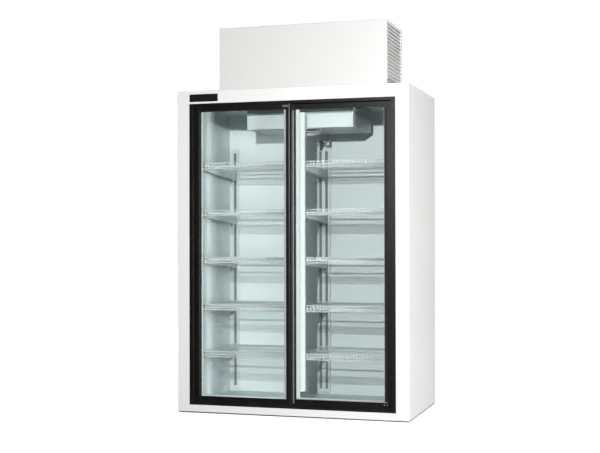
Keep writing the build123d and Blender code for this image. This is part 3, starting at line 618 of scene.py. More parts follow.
@dataclass(frozen=True)
class Glass:
    """Clear sheet glass that lets light through to what stands behind it.

    Attributes:
        name: Name of the material.
        slot: Material slot of the record that it belongs to; not used in this script.
        tint: Screen colour of the glass.
        smear: Most roughness that wiping marks bring.
    """

    name: str
    slot: str
    tint: str
    smear: float

    def material(self) -> bpy.types.Material:
        """The material, made once."""
        known = bpy.data.materials.get(self.name)
        if known:
            return known
        made, g = blank(self.name)
        looks = {"Base": linear(self.tint), "Shade": linear("fdfefe"), "Scale": 6.0,
            "Stretch": (1.0, 1.0, 0.35), "Mottle": 0.3, "Roughness": self.smear / 2, "Swing": self.smear}
        grain = g.add("Group", looks, node_tree=GROUPS["grain"])
        shader = g.add("BsdfPrincipled", {"Base Color": grain.outputs["Colour"],
            "Roughness": grain.outputs["Roughness"], "IOR": 1.5, "Transmission Weight": 1.0})
        clear = g.add("BsdfTransparent", {"Color": linear("fdfefe")})
        ray = g.add("LightPath").outputs
        passing = g.maths("MAXIMUM", ray["Is Shadow Ray"], ray["Is Diffuse Ray"])
        mixed = g.add("MixShader", {0: passing, 1: shader.outputs[0], 2: clear.outputs[0]})
        g.add("OutputMaterial", {"Surface": mixed.outputs[0]})
        made.diffuse_color = (*linear(self.tint)[:3], 0.3)
        return made


WHITE_PAINT = Finish("white_enamel", "white_paint", "dbdbda", "d3d3d1", 0.32, bump=0.03, coat=0.35, dust=0.12)
HOOD_PAINT = Finish("hood_enamel", "white_paint", "cccdcb", "c1c1bf", 0.36, bump=0.03, coat=0.25, dust=0.3)
GALVANISED = Finish("galvanised_sheet", "galvanised", "b4b8ba", "8e9497", 0.42, metal=1.0, grain=45.0,
    mottle=0.8, swing=0.25, bump=0.01)
FOAM = Finish("rigid_foam", "foam", "d9cc9b", "c4b37c", 0.95, grain=900.0, mottle=0.4, bump=0.3, dust=0.0)
LINER = Finish("liner_enamel", "liner", "eff5f5", "e2eae9", 0.45, grain=260.0, mottle=0.25, swing=0.06,
    bump=0.02, dust=0.1, bounce=0.22)
COOLER_PAINT = Finish("cooler_enamel", "white_paint", "d5dddc", "ccd4d3", 0.38, bump=0.02, dust=0.05,
    bounce=0.17)
# Painted shade: the dark band along the top of the cooler's front, where the door head shades it.
COOLER_PAINTED_SHADE = Finish("cooler_painted_shade", "black_rubber", "515d5b", "4b5755", 0.7, grain=500.0, bump=0.02,
    bounce=0.3)
GLIDE_STEEL = Finish("plated_steel", "glide_steel", "85868a", "66676a", 0.4, metal=1.0, wear=0.3, dust=0.3)
ANODISED = Finish("black_anodising", "black_aluminium", "060607", "0c0c0d", 0.34, metal=0.35, grain=700.0,
    stretch=(1.0, 1.0, 0.02), mottle=0.5, swing=0.14, bump=0.008, wear=0.35, worn="55565a")
ANODISED_ACROSS = replace(ANODISED, name="black_anodising_across", stretch=(0.02, 1.0, 1.0))
RUBBER = Finish("black_gasket", "black_rubber", "0e0e0e", "1a1a19", 0.72, grain=900.0, mottle=0.5, bump=0.03)
GREY_PLASTIC = Finish("grey_profile", "grey_plastic", "c8cecd", "bcc2c1", 0.5, grain=600.0, bump=0.015,
    bounce=0.3)
GREY_TAB = Finish("grey_tab", "grey_plastic", "55585a", "484b4c", 0.4, grain=600.0, bump=0.015)
GRIP = Finish("satin_grip", "black_aluminium", "1a1c1d", "151718", 0.38, metal=0.5, grain=700.0,
    stretch=(1.0, 1.0, 0.02), mottle=0.5, bump=0.006)
NYLON = Finish("nylon_wheel", "nylon", "2b2c2d", "3a3a39", 0.5, grain=500.0, mottle=0.4, wear=0.3,
    worn="6f6b62")
BRIGHT = Finish("bright_strip", "bright_aluminium", "929495", "828485", 0.5, metal=0.9, grain=800.0,
    stretch=(1.0, 1.0, 0.02), swing=0.12, bump=0.004, dust=0.05)
# Partly painted highlight: the glazing bead is real, but only the right door's is drawn bright, where light
# catches it.
BRIGHT_BEAD_HIGHLIGHT = Finish("bead_painted_highlight", "bright_aluminium", "d4d6d6", "bcbebe", 0.3, metal=0.7, grain=800.0,
    stretch=(0.02, 1.0, 1.0), swing=0.12, bump=0.004, dust=0.05)
PLATED = Finish("plated_screw", "bright_aluminium", "cfd0cf", "a8a9a8", 0.3, metal=1.0, grain=1500.0,
    dust=0.1)
LAMP_WHITE = Finish("lamp_enamel", "lamp_white", "c2c5c3", "b8bbb9", 0.35, coat=0.2, dust=0.05, bounce=0.2)
# Painted light: a dark cover that gives off its own light, so it looks evenly lit though the lamp is off.
DIFFUSER_PAINTED_GLOW = Finish("opal_cover_painted_glow", "diffuser", "3f4241", "3d403f", 0.45, grain=220.0, bump=0.01, dust=0.0,
    painted_glow=14.5, bounce=0.2)
# Painted light: a faint light of its own on the tube of a lamp that is off.
TUBE_GLASS = Finish("tube_coating", "tube_glass", "f7f8f4", "eceee8", 0.25, dust=0.0, painted_glow=0.25)
BLACK_PLASTIC = Finish("black_moulding", "black_plastic", "151515", "202020", 0.5, grain=1200.0, mottle=0.4,
    bump=0.02, wear=0.15)
SHELF_COAT = Finish("shelf_coating", "shelf_coating", "eef2f1", "dde2e0", 0.28, grain=500.0, coat=0.3,
    dust=0.1, bounce=0.25)
STANDARD = Finish("standard_coating", "standard_steel", "e2e8e7", "d0d6d5", 0.42, grain=400.0, wear=0.15,
    worn="8b8f8e", dust=0.1, bounce=0.25)
# Painted shade: the dark sheets at the back of the standards' channels.
STANDARD_WEB_SHADE = Finish("standard_web_painted_shade", "standard_steel", "4c5856", "434e4c", 0.7, grain=300.0, mottle=0.5,
    dust=0.0)
FINS = Finish("fin_stock", "fin_aluminium", "c4c8ca", "a4a9ac", 0.35, metal=1.0, grain=300.0,
    stretch=(1.0, 1.0, 0.1), mottle=0.5)
COPPER = Finish("copper_line", "fin_aluminium", "b87a55", "8a5538", 0.32, metal=1.0, grain=300.0, mottle=0.7,
    swing=0.2)
MOTOR = Finish("motor_enamel", "motor_steel", "35363a", "28292c", 0.4, grain=500.0, wear=0.3, dust=0.4)
FAN_METAL = Finish("fan_blade", "fan_aluminium", "b9bcbe", "999da0", 0.36, metal=1.0, grain=350.0, mottle=0.4,
    wear=0.2)
HOSE = Finish("drain_hose_wall", "hose_plastic", "8d9290", "7a7f7d", 0.45, grain=400.0, bump=0.02, dust=0.1)
COMPRESSOR = Finish("compressor_enamel", "compressor_black", "111213", "1a1b1c", 0.25, coat=0.5, wear=0.2,
    dust=0.4)
PLATE = Finish("bare_plate", "black_plastic", "101012", "18181b", 0.3, grain=300.0, bump=0.005, dust=0.05)
CLEAR = Glass("door_glass", "clear_glass", "fbfefe", 0.004)


# Placing


def place(name: str, parts: list[tuple[Skin, object]], *nodes: str, body: str = "cabinet",
        crease: float = 32.0) -> None:
    """Makes one piece of the model and puts it on its body.

    Args:
        name: Name of the piece.
        parts: Surfaces in millimetres, each with its finish.
        nodes: CAD nodes that it stands for.
        body: CAD body that the piece rides on.
        crease: Angle in degrees over which an edge stays sharp.
    """
    whole = joined([skin for skin, _ in parts])
    mesh = bpy.data.meshes.new(name)
    mesh.from_pydata((whole.points * MM).tolist(), [], whole.quads.tolist() + whole.caps)
    finishes = list(dict.fromkeys(finish for _, finish in parts))
    order = [finishes.index(finish) for _, finish in parts]
    slots = np.concatenate([np.repeat(order, [len(skin.quads) for skin, _ in parts]),
        np.repeat(order, [len(s.caps) for s, _ in parts])])
    mesh.polygons.foreach_set("material_index", slots.astype(np.int32))
    for finish in finishes:
        mesh.materials.append(finish.material())
    work = bmesh.new()
    work.from_mesh(mesh)
    bmesh.ops.remove_doubles(work, verts=work.verts, dist=WELD)
    bmesh.ops.dissolve_degenerate(work, edges=work.edges, dist=WELD)
    bmesh.ops.recalc_face_normals(work, faces=work.faces)
    work.to_mesh(mesh)
    work.free()
    mesh.shade_smooth()
    mesh.set_sharp_from_angle(angle=math.radians(crease))
    made = link(name, mesh)
    made.modifiers.new("even_normals", "WEIGHTED_NORMAL").keep_sharp = True
    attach(made, body)
    if nodes:
        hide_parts(*nodes)
    log.info("%s: %d faces on %s", name, len(mesh.polygons), body)


def link(name: str, data: object) -> bpy.types.Object:
    """A new object that is linked to the scene."""
    made = bpy.data.objects.new(name, data)
    bpy.context.scene.collection.objects.link(made)
    return made


def dress(node: str, finish: object) -> None:
    """Gives a CAD node its finish and leaves its mesh as it is."""
    for slot in NODES[node].material_slots:
        slot.material = finish.material()
    log.info("%s: dressed in %s", node, finish.name)


def screws(spots: np.ndarray | list, axis: Axis, sign: int, radius: float = 4.0, tall: float = 2.0) -> Skin:
    """Pan-head screws with a round recess.

    Args:
        spots: Middles of the heads on the sheet.
        axis: Direction in which the heads stand.
        sign: Which way along it.
        radius: Radius of a head.
        tall: How far a head stands out.

    Returns:
        All heads: a turned profile of a low dome with a dished middle.
    """
    shape = [(0.0, -0.2), (radius, -0.2), (radius, 0.45 * tall), (0.8 * radius, 0.85 * tall),
        (0.35 * radius, tall), (0.25 * radius, 0.4 * tall), (0.0, 0.3 * tall)]
    return joined([lathe(shape, spot, axis, 12, sign) for spot in np.asarray(spots, float)])


# Sub-assemblies


@dataclass
class Cabinet:
    """The insulated body: folded shell, rear sheet, pan, foam, liner and glides."""

    corner_radius: float = 1.6
    sheet: float = 1.2
    face_inset: float = 0.8
    flange: float = 12.0
    plate_low: tuple[float, float] = (-633.0, 1871.0)
    plate_high: tuple[float, float] = (-451.0, 1917.0)
    screw_room: float = 1.05
    door_gap: float = 0.4
    rim: float = 9.0
    glide_setback: float = 316.5
    bead_insets: tuple[float, float] = (90.0, 150.0)
    screw_inset: float = 22.0

    def shell(self) -> Skin:
        """The wrap and its face ring.

        Returns:
            Rectangles lofted from the doorway out over the face, round the folded edges and back inside by
            the sheet's thickness, and behind them the two sides and the roof as one bent sheet.
        """
        low, high = extent("outer_shell")
        door_low, door_high = corner("frame_left_jamb", False), corner("frame_right_jamb", True)
        front, back, r = low[1] + self.face_inset, high[1], self.corner_radius
        outside = partial(rectangle, low[::2], high[::2])
        doorway = partial(rectangle, door_low[::2] - self.door_gap, door_high[::2] + self.door_gap)
        turn = np.linspace(0, math.pi / 2, 6)
        fold = [outside(front + r - r * math.cos(a), r - r * math.sin(a)) for a in turn]
        flange = front + self.flange
        rows = [doorway(front + self.rim), doorway(front + 0.5), doorway(front, -0.5), *fold]
        rows += [outside(flange), outside(flange, self.sheet), outside(front + self.sheet, self.sheet)]
        rows += [doorway(front + self.sheet, -self.sheet), doorway(front + self.rim, -self.sheet)]
        t = self.sheet
        arch = [(low[0], low[2]), (low[0], high[2]), (high[0], high[2]), (high[0], low[2]),
            (high[0] - t, low[2])]
        arch += [(high[0] - t, high[2] - t), (low[0] + t, high[2] - t), (low[0] + t, low[2])]
        return joined([grid(np.stack(rows), True, True), prism(arch, Axis.Y, flange + 0.02, back)])

    def build(self) -> None:
        """Places the body's pieces and dresses the plain ones."""
        place("cabinet_wrap", [(self.shell(), WHITE_PAINT)], "outer_shell", crease=50.0)
        for node, finish in {"base_pan": GALVANISED, "foam_core": FOAM, "inner_liner": LINER}.items():
            dress(node, finish)
        self.glides()
        self.plate()
        self.rear_sheet()

    def glides(self) -> None:
        """Round pads under six-sided collars."""
        low, high = extent("levelling_glides")
        radius, top = 20.0, high[2]
        spots = [(sx, sy) for sx in (low[0] + radius, high[0] - radius) for sy in (-self.glide_setback,
            self.glide_setback)]
        pads = []
        for x, y in spots:
            pads.append(lathe([(0, 0.0), (17.0, 0.0), (18.5, 1.0), (18.5, 2.6), (16, 3.2), (0, 3.2)],
                (x, y, 0), Axis.Z))
            pads.append(lathe([(0, 3.1), (15.0, 3.1), (15.0, top), (0, top)], (x, y, 0), Axis.Z, 6))
        place("levelling_pads", [(joined(pads), GLIDE_STEEL)], "levelling_glides")

    def plate(self) -> None:
        """The bare black plate above the left door."""
        face = corner("outer_shell", False)[1]
        low = (self.plate_low[0], face, self.plate_low[1])
        high = (self.plate_high[0], face + self.face_inset + 0.3, self.plate_high[1])
        place("bare_face_plate", [(rounded_box(low, high, 0.5, 2), PLATE)])

    def rear_sheet(self) -> None:
        """The rear sheet with two pressed frames, and the screws round its edge.

        The face lies below the CAD face by the height of a screw head. Each frame is a bead: the sheet rises
        by a squared cosine of the distance from a rectangle's outline.
        """
        low, high = extent("rear_panel")
        face = high[1] - self.screw_room
        half_bead, rise = 11.0, 0.9
        middle, half = (low + high) / 2, (high - low) / 2

        def levels(reach: float, outline: list[float]) -> np.ndarray:
            """Places from -reach to reach, close together across each bead of the outline."""
            near = np.concatenate([np.linspace(edge - half_bead, edge + half_bead, 7) for edge in outline])
            return np.unique(np.concatenate([[-reach, reach], near, -near]))

        wide, tall = ([size - inset for inset in self.bead_insets] for size in (half[0], half[2]))
        x, z = levels(half[0], wide), levels(half[2], tall)
        gx, gz = np.meshgrid(x, z)
        lift = np.zeros_like(gx)
        for a, b in zip(wide, tall):
            off = np.abs(np.maximum(np.abs(gx) - a, np.abs(gz) - b))
            lift = np.maximum(lift, np.cos(np.clip(off / half_bead, 0, 1) * math.pi / 2) ** 2)
        outer = np.stack([middle[0] + gx, face + rise * lift, middle[2] + gz], axis=-1)
        inner = np.stack([middle[0] + gx, np.full_like(gx, low[1]), middle[2] + gz], axis=-1)
        rim = [np.concatenate([o[0], o[1:-1, -1], o[-1, ::-1], o[-2:0:-1, 0]]) for o in (inner, outer)]
        sheet = joined([grid(outer), grid(inner), grid(np.stack(rim), False, True)])
        edge = self.screw_inset
        zs = np.linspace(low[2] + 60, high[2] - 60, 7)
        xs = np.linspace(low[0] + 160, high[0] - 160, 5)
        spots = [(x_spot, face, z_spot) for x_spot in (low[0] + edge, high[0] - edge) for z_spot in zs]
        spots += [(x_spot, face, z_spot) for x_spot in xs for z_spot in (low[2] + edge, high[2] - edge)]
        heads = screws(spots, Axis.Y, 1, 4.0, self.screw_room - 0.05)
        place("rear_sheet", [(sheet, GALVANISED)], "rear_panel")
        place("rear_screws", [(heads, PLATED)])


@dataclass
class DoorFrame:
    """The black extrusions round the doorway, with a channel and a pair of ribs for each door."""

    lip: float = 2.5
    web: float = 3.0
    tracks: tuple[float, float] = (21.0, 53.0)
    channel_half: float = 14.5
    rib_rise: float = 7.0
    bumper_middles: tuple[float, float] = (-385.5, -353.5)
    bumper_half: float = 11.0
    edge: float = 0.5
    jamb_edge: float = 0.6

    def head(self) -> Skin:
        """The top extrusion: a closed profile with two channels that open downwards."""
        low, high = extent("frame_head")
        front, back, bottom, top = low[1], high[1], low[2], high[2]
        half = self.channel_half
        cut = self.edge
        face = grooved((front, top - cut), (front, bottom + cut), [5.0, 9.0, 13.0], 1.0, 0.6)
        under = [(front + cut, bottom)]
        for track in (front + setback for setback in self.tracks):
            under += [(track - half, bottom), (track - half, top - self.web), (track + half, top - self.web),
                (track + half, bottom)]
        rest = [(back - cut, bottom), (back, bottom + cut), (back, top - cut), (back - cut, top),
            (front + cut, top)]
        return prism(np.concatenate([face, under, rest]), Axis.X, low[0], high[0])

    def sill(self) -> Skin:
        """The bottom extrusion: two lips, and two ribs for each track."""
        low, high = extent("frame_sill")
        front, back, bottom, top = low[1], high[1], low[2], high[2]
        floor, rib_top = bottom + self.web, bottom + self.web + self.rib_rise
        cut = self.edge
        face = grooved((front, top - cut), (front, bottom + cut), [3.5, 7.0], 0.9, 0.5)
        ribs = []
        for track in (front + setback for setback in self.tracks[::-1]):
            for inner, outer in ((6.0, 8.0), (-8.0, -6.0)):
                ribs += [(track + outer, floor), (track + outer, rib_top), (track + inner, rib_top),
                    (track + inner, floor)]
        ring = [(front + cut, bottom), (back, bottom), (back, top), (back - self.lip, top),
            (back - self.lip, floor), *ribs, (front + self.lip, floor), (front + self.lip, top),
            (front + cut, top)]
        return prism(np.concatenate([face, ring]), Axis.X, low[0], high[0])

    def jamb(self, node: str) -> Skin:
        """A side extrusion with fine grooves down its face.

        Args:
            node: CAD node that it stands for.

        Returns:
            A profile of X and Y carried up.
        """
        low, high = extent(node)
        cut = self.jamb_edge
        face = grooved((low[0] + cut, low[1]), (high[0] - cut, low[1]), [3.0, 11.0, 20.0], 1.0, 0.6)
        rest = [(high[0], low[1] + cut), (high[0], high[1] - cut), (high[0] - cut, high[1]),
            (low[0] + cut, high[1]), (low[0], high[1] - cut), (low[0], low[1] + cut)]
        return prism(np.concatenate([face, rest]), Axis.Z, low[2], high[2])

    def bumpers(self) -> Skin:
        """Rubber strips with a round back against the jambs."""
        low, high = extent("jamb_bumpers")
        strips = []
        half = self.bumper_half
        for edge, sign, track in zip((low[0], high[0]), (1, -1), self.bumper_middles):
            turn = np.linspace(-math.pi / 2, math.pi / 2, 9)
            round_x = edge + sign * (0.6 + 2.4 * np.cos(turn))
            round_y = track + half * np.sin(turn)
            ring = np.stack([np.concatenate([[edge], round_x, [edge]]),
                np.concatenate([[track - half], round_y, [track + half]])], 1)
            strips.append(prism(ring, Axis.Z, low[2], high[2]))
        return joined(strips)

    def build(self) -> None:
        """Places the four extrusions and the bumpers."""
        place("head_extrusion", [(self.head(), ANODISED_ACROSS)], "frame_head")
        place("sill_extrusion", [(self.sill(), ANODISED_ACROSS)], "frame_sill")
        for side in ("left", "right"):
            node = f"frame_{side}_jamb"
            place(f"{side}_jamb_extrusion", [(self.jamb(node), ANODISED)], node)
        place("jamb_cushions", [(self.bumpers(), RUBBER)], "jamb_bumpers")


@dataclass
class SlidingDoor:
    """One sliding door: black bars, a sealed glass unit, a light inner frame and two wheels.

    Attributes:
        side: left or right.
    """

    side: str
    stile: float = 33.0
    chamber: float = 19.0
    flange: float = 3.0
    pane: float = 4.0
    bottom_rail: float = 38.0
    bottom_chamber: float = 24.0
    top_rail: float = 37.0
    top_chamber: float = 23.0
    wheel_radius: float = 15.0
    grip: tuple[float, float] = (2.0, 16.0)
    strip_drop: float = 22.0
    border: float = 14.0
    profile_lap: float = 20.0
    far_lap: float = 20.0
    cut: float = 0.6
    rail_cut: float = 0.5
    screw_level: float = 87.0
    screw_places: tuple[float, float] = (558.0, 575.0)

    def __post_init__(self) -> None:
        """Reads where the door stands from its CAD nodes."""
        self.low = corner(f"{self.side}_door_stiles", False)
        self.high = corner(f"{self.side}_door_stiles", True)
        self.body = f"{self.side}_door"

    def stiles(self) -> Skin:
        """The two upright bars: a chamber with a flange over the glass, and fine grooves down the face."""
        front, back = self.low[1], self.high[1]
        cut, bars = self.cut, []
        for edge, sign in ((self.low[0], 1), (self.high[0], -1)):
            if self.side == "left" and sign < 0:
                grip = (self.grip[0] + self.grip[1]) / 2
                face = grooved((cut, 0.0), (self.stile - cut, 0.0), [grip], self.grip[1] - self.grip[0], 1.6)
            else:
                face = grooved((cut, 0.0), (self.stile - cut, 0.0), [4.0, 15.0, 19.0, 29.0], 1.0, 0.6)
            ring = [(self.stile, cut), (self.stile, self.flange), (self.chamber, self.flange),
                (self.chamber, back - front - cut), (self.chamber - cut, back - front), (cut, back - front),
                (0.0, back - front - cut), (0.0, cut)]
            outline = np.concatenate([face, ring])
            outline = np.stack([edge + sign * outline[:, 0], front + outline[:, 1]], axis=1)
            bars.append(prism(outline, Axis.Z, self.low[2], self.high[2]))
        return joined(bars)

    def finger_grip(self) -> Skin:
        """The coved strip let into the meeting stile: an arc of 1.2 mm depth across the recess."""
        a, b = self.high[0] - self.grip[1], self.high[0] - self.grip[0]
        share = np.linspace(0, 1, 9)
        cove = np.stack([a + share * (b - a), self.low[1] + 0.15 + 1.2 * np.sin(share * math.pi)], axis=1)
        floor = self.low[1] + 1.6
        return prism(np.concatenate([cove, [(b, floor), (a, floor)]]), Axis.Z, self.low[2] + 2,
            self.high[2] - 2)

    def rails(self) -> Skin:
        """The top and bottom bars. The bottom one is open below for the wheels."""
        front, back = self.low[1], self.high[1]
        bottom, top = self.low[2], self.high[2]
        low_edge, high_edge = bottom + self.bottom_rail, top - self.top_rail
        middle, half, cut = (front + back) / 2, 6.0, self.rail_cut
        start, stop = self.low[0] + self.chamber, self.high[0] - self.chamber
        flange_start, flange_stop = self.low[0] + self.stile, self.high[0] - self.stile
        face = grooved((front, low_edge - cut), (front, bottom + cut), [8.0, 14.0, 20.0, 26.0, 32.0], 1.2,
            0.7)
        lower = np.concatenate([face, [(front + cut, bottom), (front + self.flange, bottom),
            (front + self.flange, low_edge)]])
        upper_face = grooved((front, top - cut), (front, high_edge + cut), [6.0, 12.0, 18.0, 30.0], 1.2, 0.7)
        upper = np.concatenate([upper_face, [(front + cut, high_edge), (front + self.flange, high_edge),
            (front + self.flange, top)]])
        channel_top = corner(f"{self.side}_door_left_roller", True)[2] + 1.5
        channel = [(front + self.flange, bottom), (middle - half, bottom), (middle - half, channel_top),
            (middle + half, channel_top), (middle + half, bottom), (back - cut, bottom), (back, bottom + cut),
            (back, bottom + self.bottom_chamber), (front + self.flange, bottom + self.bottom_chamber)]
        crown = [(front + self.flange, top - self.top_chamber), (back, top - self.top_chamber),
            (back, top - cut), (back - cut, top), (front + self.flange, top)]
        pins = []
        for side in ("left", "right"):
            node = f"{self.side}_door_{side}_roller"
            spot = sum(extent(node)) / 2
            pins.append(lathe([(0, -7.0), (2.5, -7.0), (2.5, 7.0), (0, 7.0)], tuple(spot), Axis.Y, 16))
        return joined([prism(lower, Axis.X, flange_start, flange_stop),
            prism(upper, Axis.X, flange_start, flange_stop), prism(channel, Axis.X, start, stop),
            prism(crown, Axis.X, start, stop), *pins])

    def glazing(self) -> tuple[Skin, Skin, Skin]:
        """The sealed unit.

        Returns:
            Two panes with ground edges, the spacer bar between them, and in front the black bead round the
            glass with the black border beside the outer stile.
        """
        low, high = extent(f"{self.side}_door_glass")
        panes = []
        for y in (low[1], high[1] - self.pane):
            panes.append(rounded_box((low[0], y, low[2]), (high[0], y + self.pane, high[2]), 0.5, 1))
        bar = 10.0
        gap = 0.2
        first, last = low[1] + self.pane + gap, high[1] - self.pane - gap
        spacer = self.picture_frame((low[0] + 1, low[2] + 1), (high[0] - 1, high[2] - 1), bar, first, last)
        inner_low = (self.low[0] + self.stile - 1.0, self.low[2] + self.bottom_rail - 1.0)
        inner_high = (self.high[0] - self.stile + 1.0, self.high[2] - self.top_rail + 1.0)
        front, back = self.low[1] + 0.9, low[1] + 0.05
        bead = self.picture_frame(inner_low, inner_high, 3.0, front, back)
        if self.side == "left":
            span = (self.low[0] + self.stile - 0.5, self.low[0] + self.stile + self.border)
        else:
            span = (self.high[0] - self.stile - self.border, self.high[0] - self.stile + 0.5)
        border = rounded_box((span[0], front + 0.2, inner_low[1]), (span[1], back, inner_high[1]), 0.4, 1)
        return joined(panes), spacer, joined([bead, border])

    @staticmethod
    def picture_frame(low: tuple, high: tuple, width: float, front: float, back: float) -> Skin:
        """A flat ring of bar round a rectangle.

        Args:
            low: Lowest outer X and Z.
            high: Highest outer X and Z.
            width: Width of the bar.
            front: Its front face.
            back: Its back face.

        Returns:
            Four rectangles joined to a ring: outer back, outer front, inner front and inner back.
        """
        soft = min(0.4, (back - front) / 4)
        rows = [(0.0, back), (0.0, front + soft), (soft, front), (width - soft, front), (width, front + soft),
            (width, back)]
        return grid(np.stack([rectangle(low, high, y, inset) for inset, y in rows]), True, True)

    def inner_frame(self) -> Skin:
        """The light profile round the glass on the inside, with a step along its inner edge."""
        low, high = extent(f"{self.side}_door_inner_frame")
        seen_low = np.array([self.low[0] + self.stile + self.profile_lap,
            self.low[2] + self.bottom_rail + 7.0])
        seen_high = np.array([self.high[0] - self.stile - self.far_lap, self.high[2] - self.top_rail + 1.0])
        outer_low, outer_high = low[::2], high[::2]
        rows = [(0.0, high[1]), (0.0, low[1]), (1.0, low[1]), (1.0, high[1] - 1.0), (0.97, high[1]),
            (0.55, high[1])]
        rows += [(0.52, high[1] - 0.8), (0.48, high[1] - 0.8), (0.45, high[1])]
        shift_low, shift_high = seen_low - outer_low, seen_high - outer_high
        rings = []
        for share, y in rows:
            rings.append(rectangle(outer_low + share * shift_low, outer_high + share * shift_high, y))
        return grid(np.stack(rings), True, True)

    def wheel(self, which: str) -> None:
        """A nylon wheel with a shallow groove and a steel sleeve."""
        node = f"{self.side}_door_{which}_roller"
        spot = tuple(sum(extent(node)) / 2)
        r, half = self.wheel_radius, 4.5
        tyre = [(5.0, -half + 1.2), (6.5, -half), (r - 3.5, -half), (r - 2.8, -half + 0.7),
            (r - 0.5, -half + 0.2), (r, -half + 0.8), (r, half - 0.8), (r - 0.5, half - 0.2),
            (r - 2.8, half - 0.7), (r - 3.5, half), (6.5, half), (5.0, half - 1.2), (5.0, -half + 1.2)]
        sleeve = [(2.56, -half), (5.0, -half), (5.0, half), (2.56, half), (2.56, -half)]
        parts = [(lathe(tyre, spot, Axis.Y, 40), NYLON), (lathe(sleeve, spot, Axis.Y, 24), PLATED)]
        place(f"{self.side}_door_{which}_wheel", parts, node, body=node)

    def build(self) -> None:
        """Places every piece of the door."""
        name = self.body
        place(f"{name}_side_bars", [(self.stiles(), ANODISED)], f"{name}_stiles", body=name)
        if self.side == "left":
            place(f"{name}_finger_grip", [(self.finger_grip(), GRIP)], body=name)
        place(f"{name}_end_bars", [(self.rails(), ANODISED_ACROSS)], f"{name}_rails", body=name)
        panes, spacer, bead = self.glazing()
        place(f"{name}_panes", [(panes, CLEAR)], f"{name}_glass", body=name)
        place(f"{name}_spacer", [(spacer, BRIGHT)], body=name)
        place(f"{name}_bead", [(bead, RUBBER)], body=name)
        place(f"{name}_inner_profile", [(self.inner_frame(), GREY_PLASTIC)], f"{name}_inner_frame", body=name)
        for which in ("left", "right"):
            self.wheel(which)
        if self.side == "left":
            self.clip()
        else:
            self.interlock()

    def clip(self) -> None:
        """The small grey tab at the top of the meeting stile."""
        low, high = extent("left_door_hold_open_clip")
        skin = rounded_box(tuple(low), tuple(high), 0.9, 3)
        place("hold_open_tab", [(skin, GREY_TAB)], "left_door_hold_open_clip", body="left_door")

    def interlock(self) -> None:
        """The bright strip on the meeting stile, and the two screws in the bottom bar."""
        low, high = extent("right_door_interlock")
        face = grooved((low[0] + 0.3, low[1]), (high[0] - 0.3, low[1]), [3.0, 14.0], 1.0, 0.5)
        rest = [(high[0], low[1] + 0.3), (high[0], high[1]), (low[0], high[1]), (low[0], low[1] + 0.3)]
        strip = prism(np.concatenate([face, rest]), Axis.Z, low[2], high[2] - self.strip_drop)
        place("meeting_strip", [(strip, BRIGHT)], "right_door_interlock", body="right_door")
        spots = [(x, self.low[1] + 0.1, self.screw_level) for x in self.screw_places]
        place("right_door_screws", [(screws(spots, Axis.Y, -1, 3.4), PLATED)], body="right_door")
        # Only this door gets the bright bead along the foot of its glass: the doors are alike, and the bead is
        # a real part whose brightness here is partly a painted highlight.
        start, stop = self.low[0] + self.stile, self.high[0] - self.stile
        foot = self.low[2] + self.bottom_rail
        front = self.low[1] + 0.6
        bead = prism(chamfered([(front + 0.4, foot - 0.5), (front + 2.3, foot - 0.5),
            (front + 2.3, foot + 6.0), (front, foot + 2.0)], 0.3), Axis.X, start, stop)
        place("right_door_highlighted_bead", [(bead, BRIGHT_BEAD_HIGHLIGHT)], body="right_door")


@dataclass
class CentreLamp:
    """The upright lamp behind the meeting stiles."""

    ribs: int = 14
    face_half: float = 45.0
    foot_half: float = 62.0
    post_half: float = 10.0

    def diffuser(self) -> Skin:
        """The opal cover: a hollow wedge whose face has fine upright ribs."""
        low, high = extent("lamp_diffuser")
        face_half = self.face_half
        across = np.linspace(-face_half + 3.0, face_half - 3.0, self.ribs)
        face = grooved((-face_half, low[1]), (face_half, low[1]), (across + face_half).tolist(), 1.6, 0.5)
        inner = [(high[0], high[1]), (high[0] - 4.0, high[1]), (face_half - 1.0, low[1] + 2.0),
            (1.0 - face_half, low[1] + 2.0), (low[0] + 4.0, high[1]), (low[0], high[1])]
        return prism(np.concatenate([face, inner]), Axis.Z, low[2], high[2])

    def caps(self) -> list[tuple[Skin, Finish]]:
        """The black ends and the light posts that hold them."""
        low, high = extent("lamp_end_caps")
        lamp_low, lamp_high = extent("lamp_diffuser")
        y0, y1 = low[1], high[1]
        middle = lamp_high[1]
        foot, face, post = self.foot_half, self.face_half, self.post_half
        base = chamfered([(-foot, y1), (foot, y1), (foot, middle), (face, y0), (-face, y0), (-foot, middle)],
            1.0)
        parts = [(prism(base, Axis.Z, lamp_low[2] - 10.0, lamp_low[2]), BLACK_PLASTIC),
            (rounded_box((-35, y0, lamp_high[2]), (35, y1, lamp_high[2] + 28.0), 1.5), BLACK_PLASTIC),
            (rounded_box((-post, middle - 6, low[2]), (post, middle + 6, lamp_low[2] - 9.8), 1.2),
            LAMP_WHITE), (rounded_box((-post, middle - 6, lamp_high[2] + 27.8), (post, middle + 6, high[2]),
            1.2), LAMP_WHITE)]
        return parts

    def build(self) -> None:
        """Places the lamp's pieces."""
        dress("lamp_housing", LAMP_WHITE)
        dress("lamp_tube", TUBE_GLASS)
        # The cover's brightness is painted light: it lights itself though the lamp is off.
        place("opal_lamp_cover", [(self.diffuser(), DIFFUSER_PAINTED_GLOW)], "lamp_diffuser")
        place("lamp_ends", self.caps(), "lamp_end_caps")


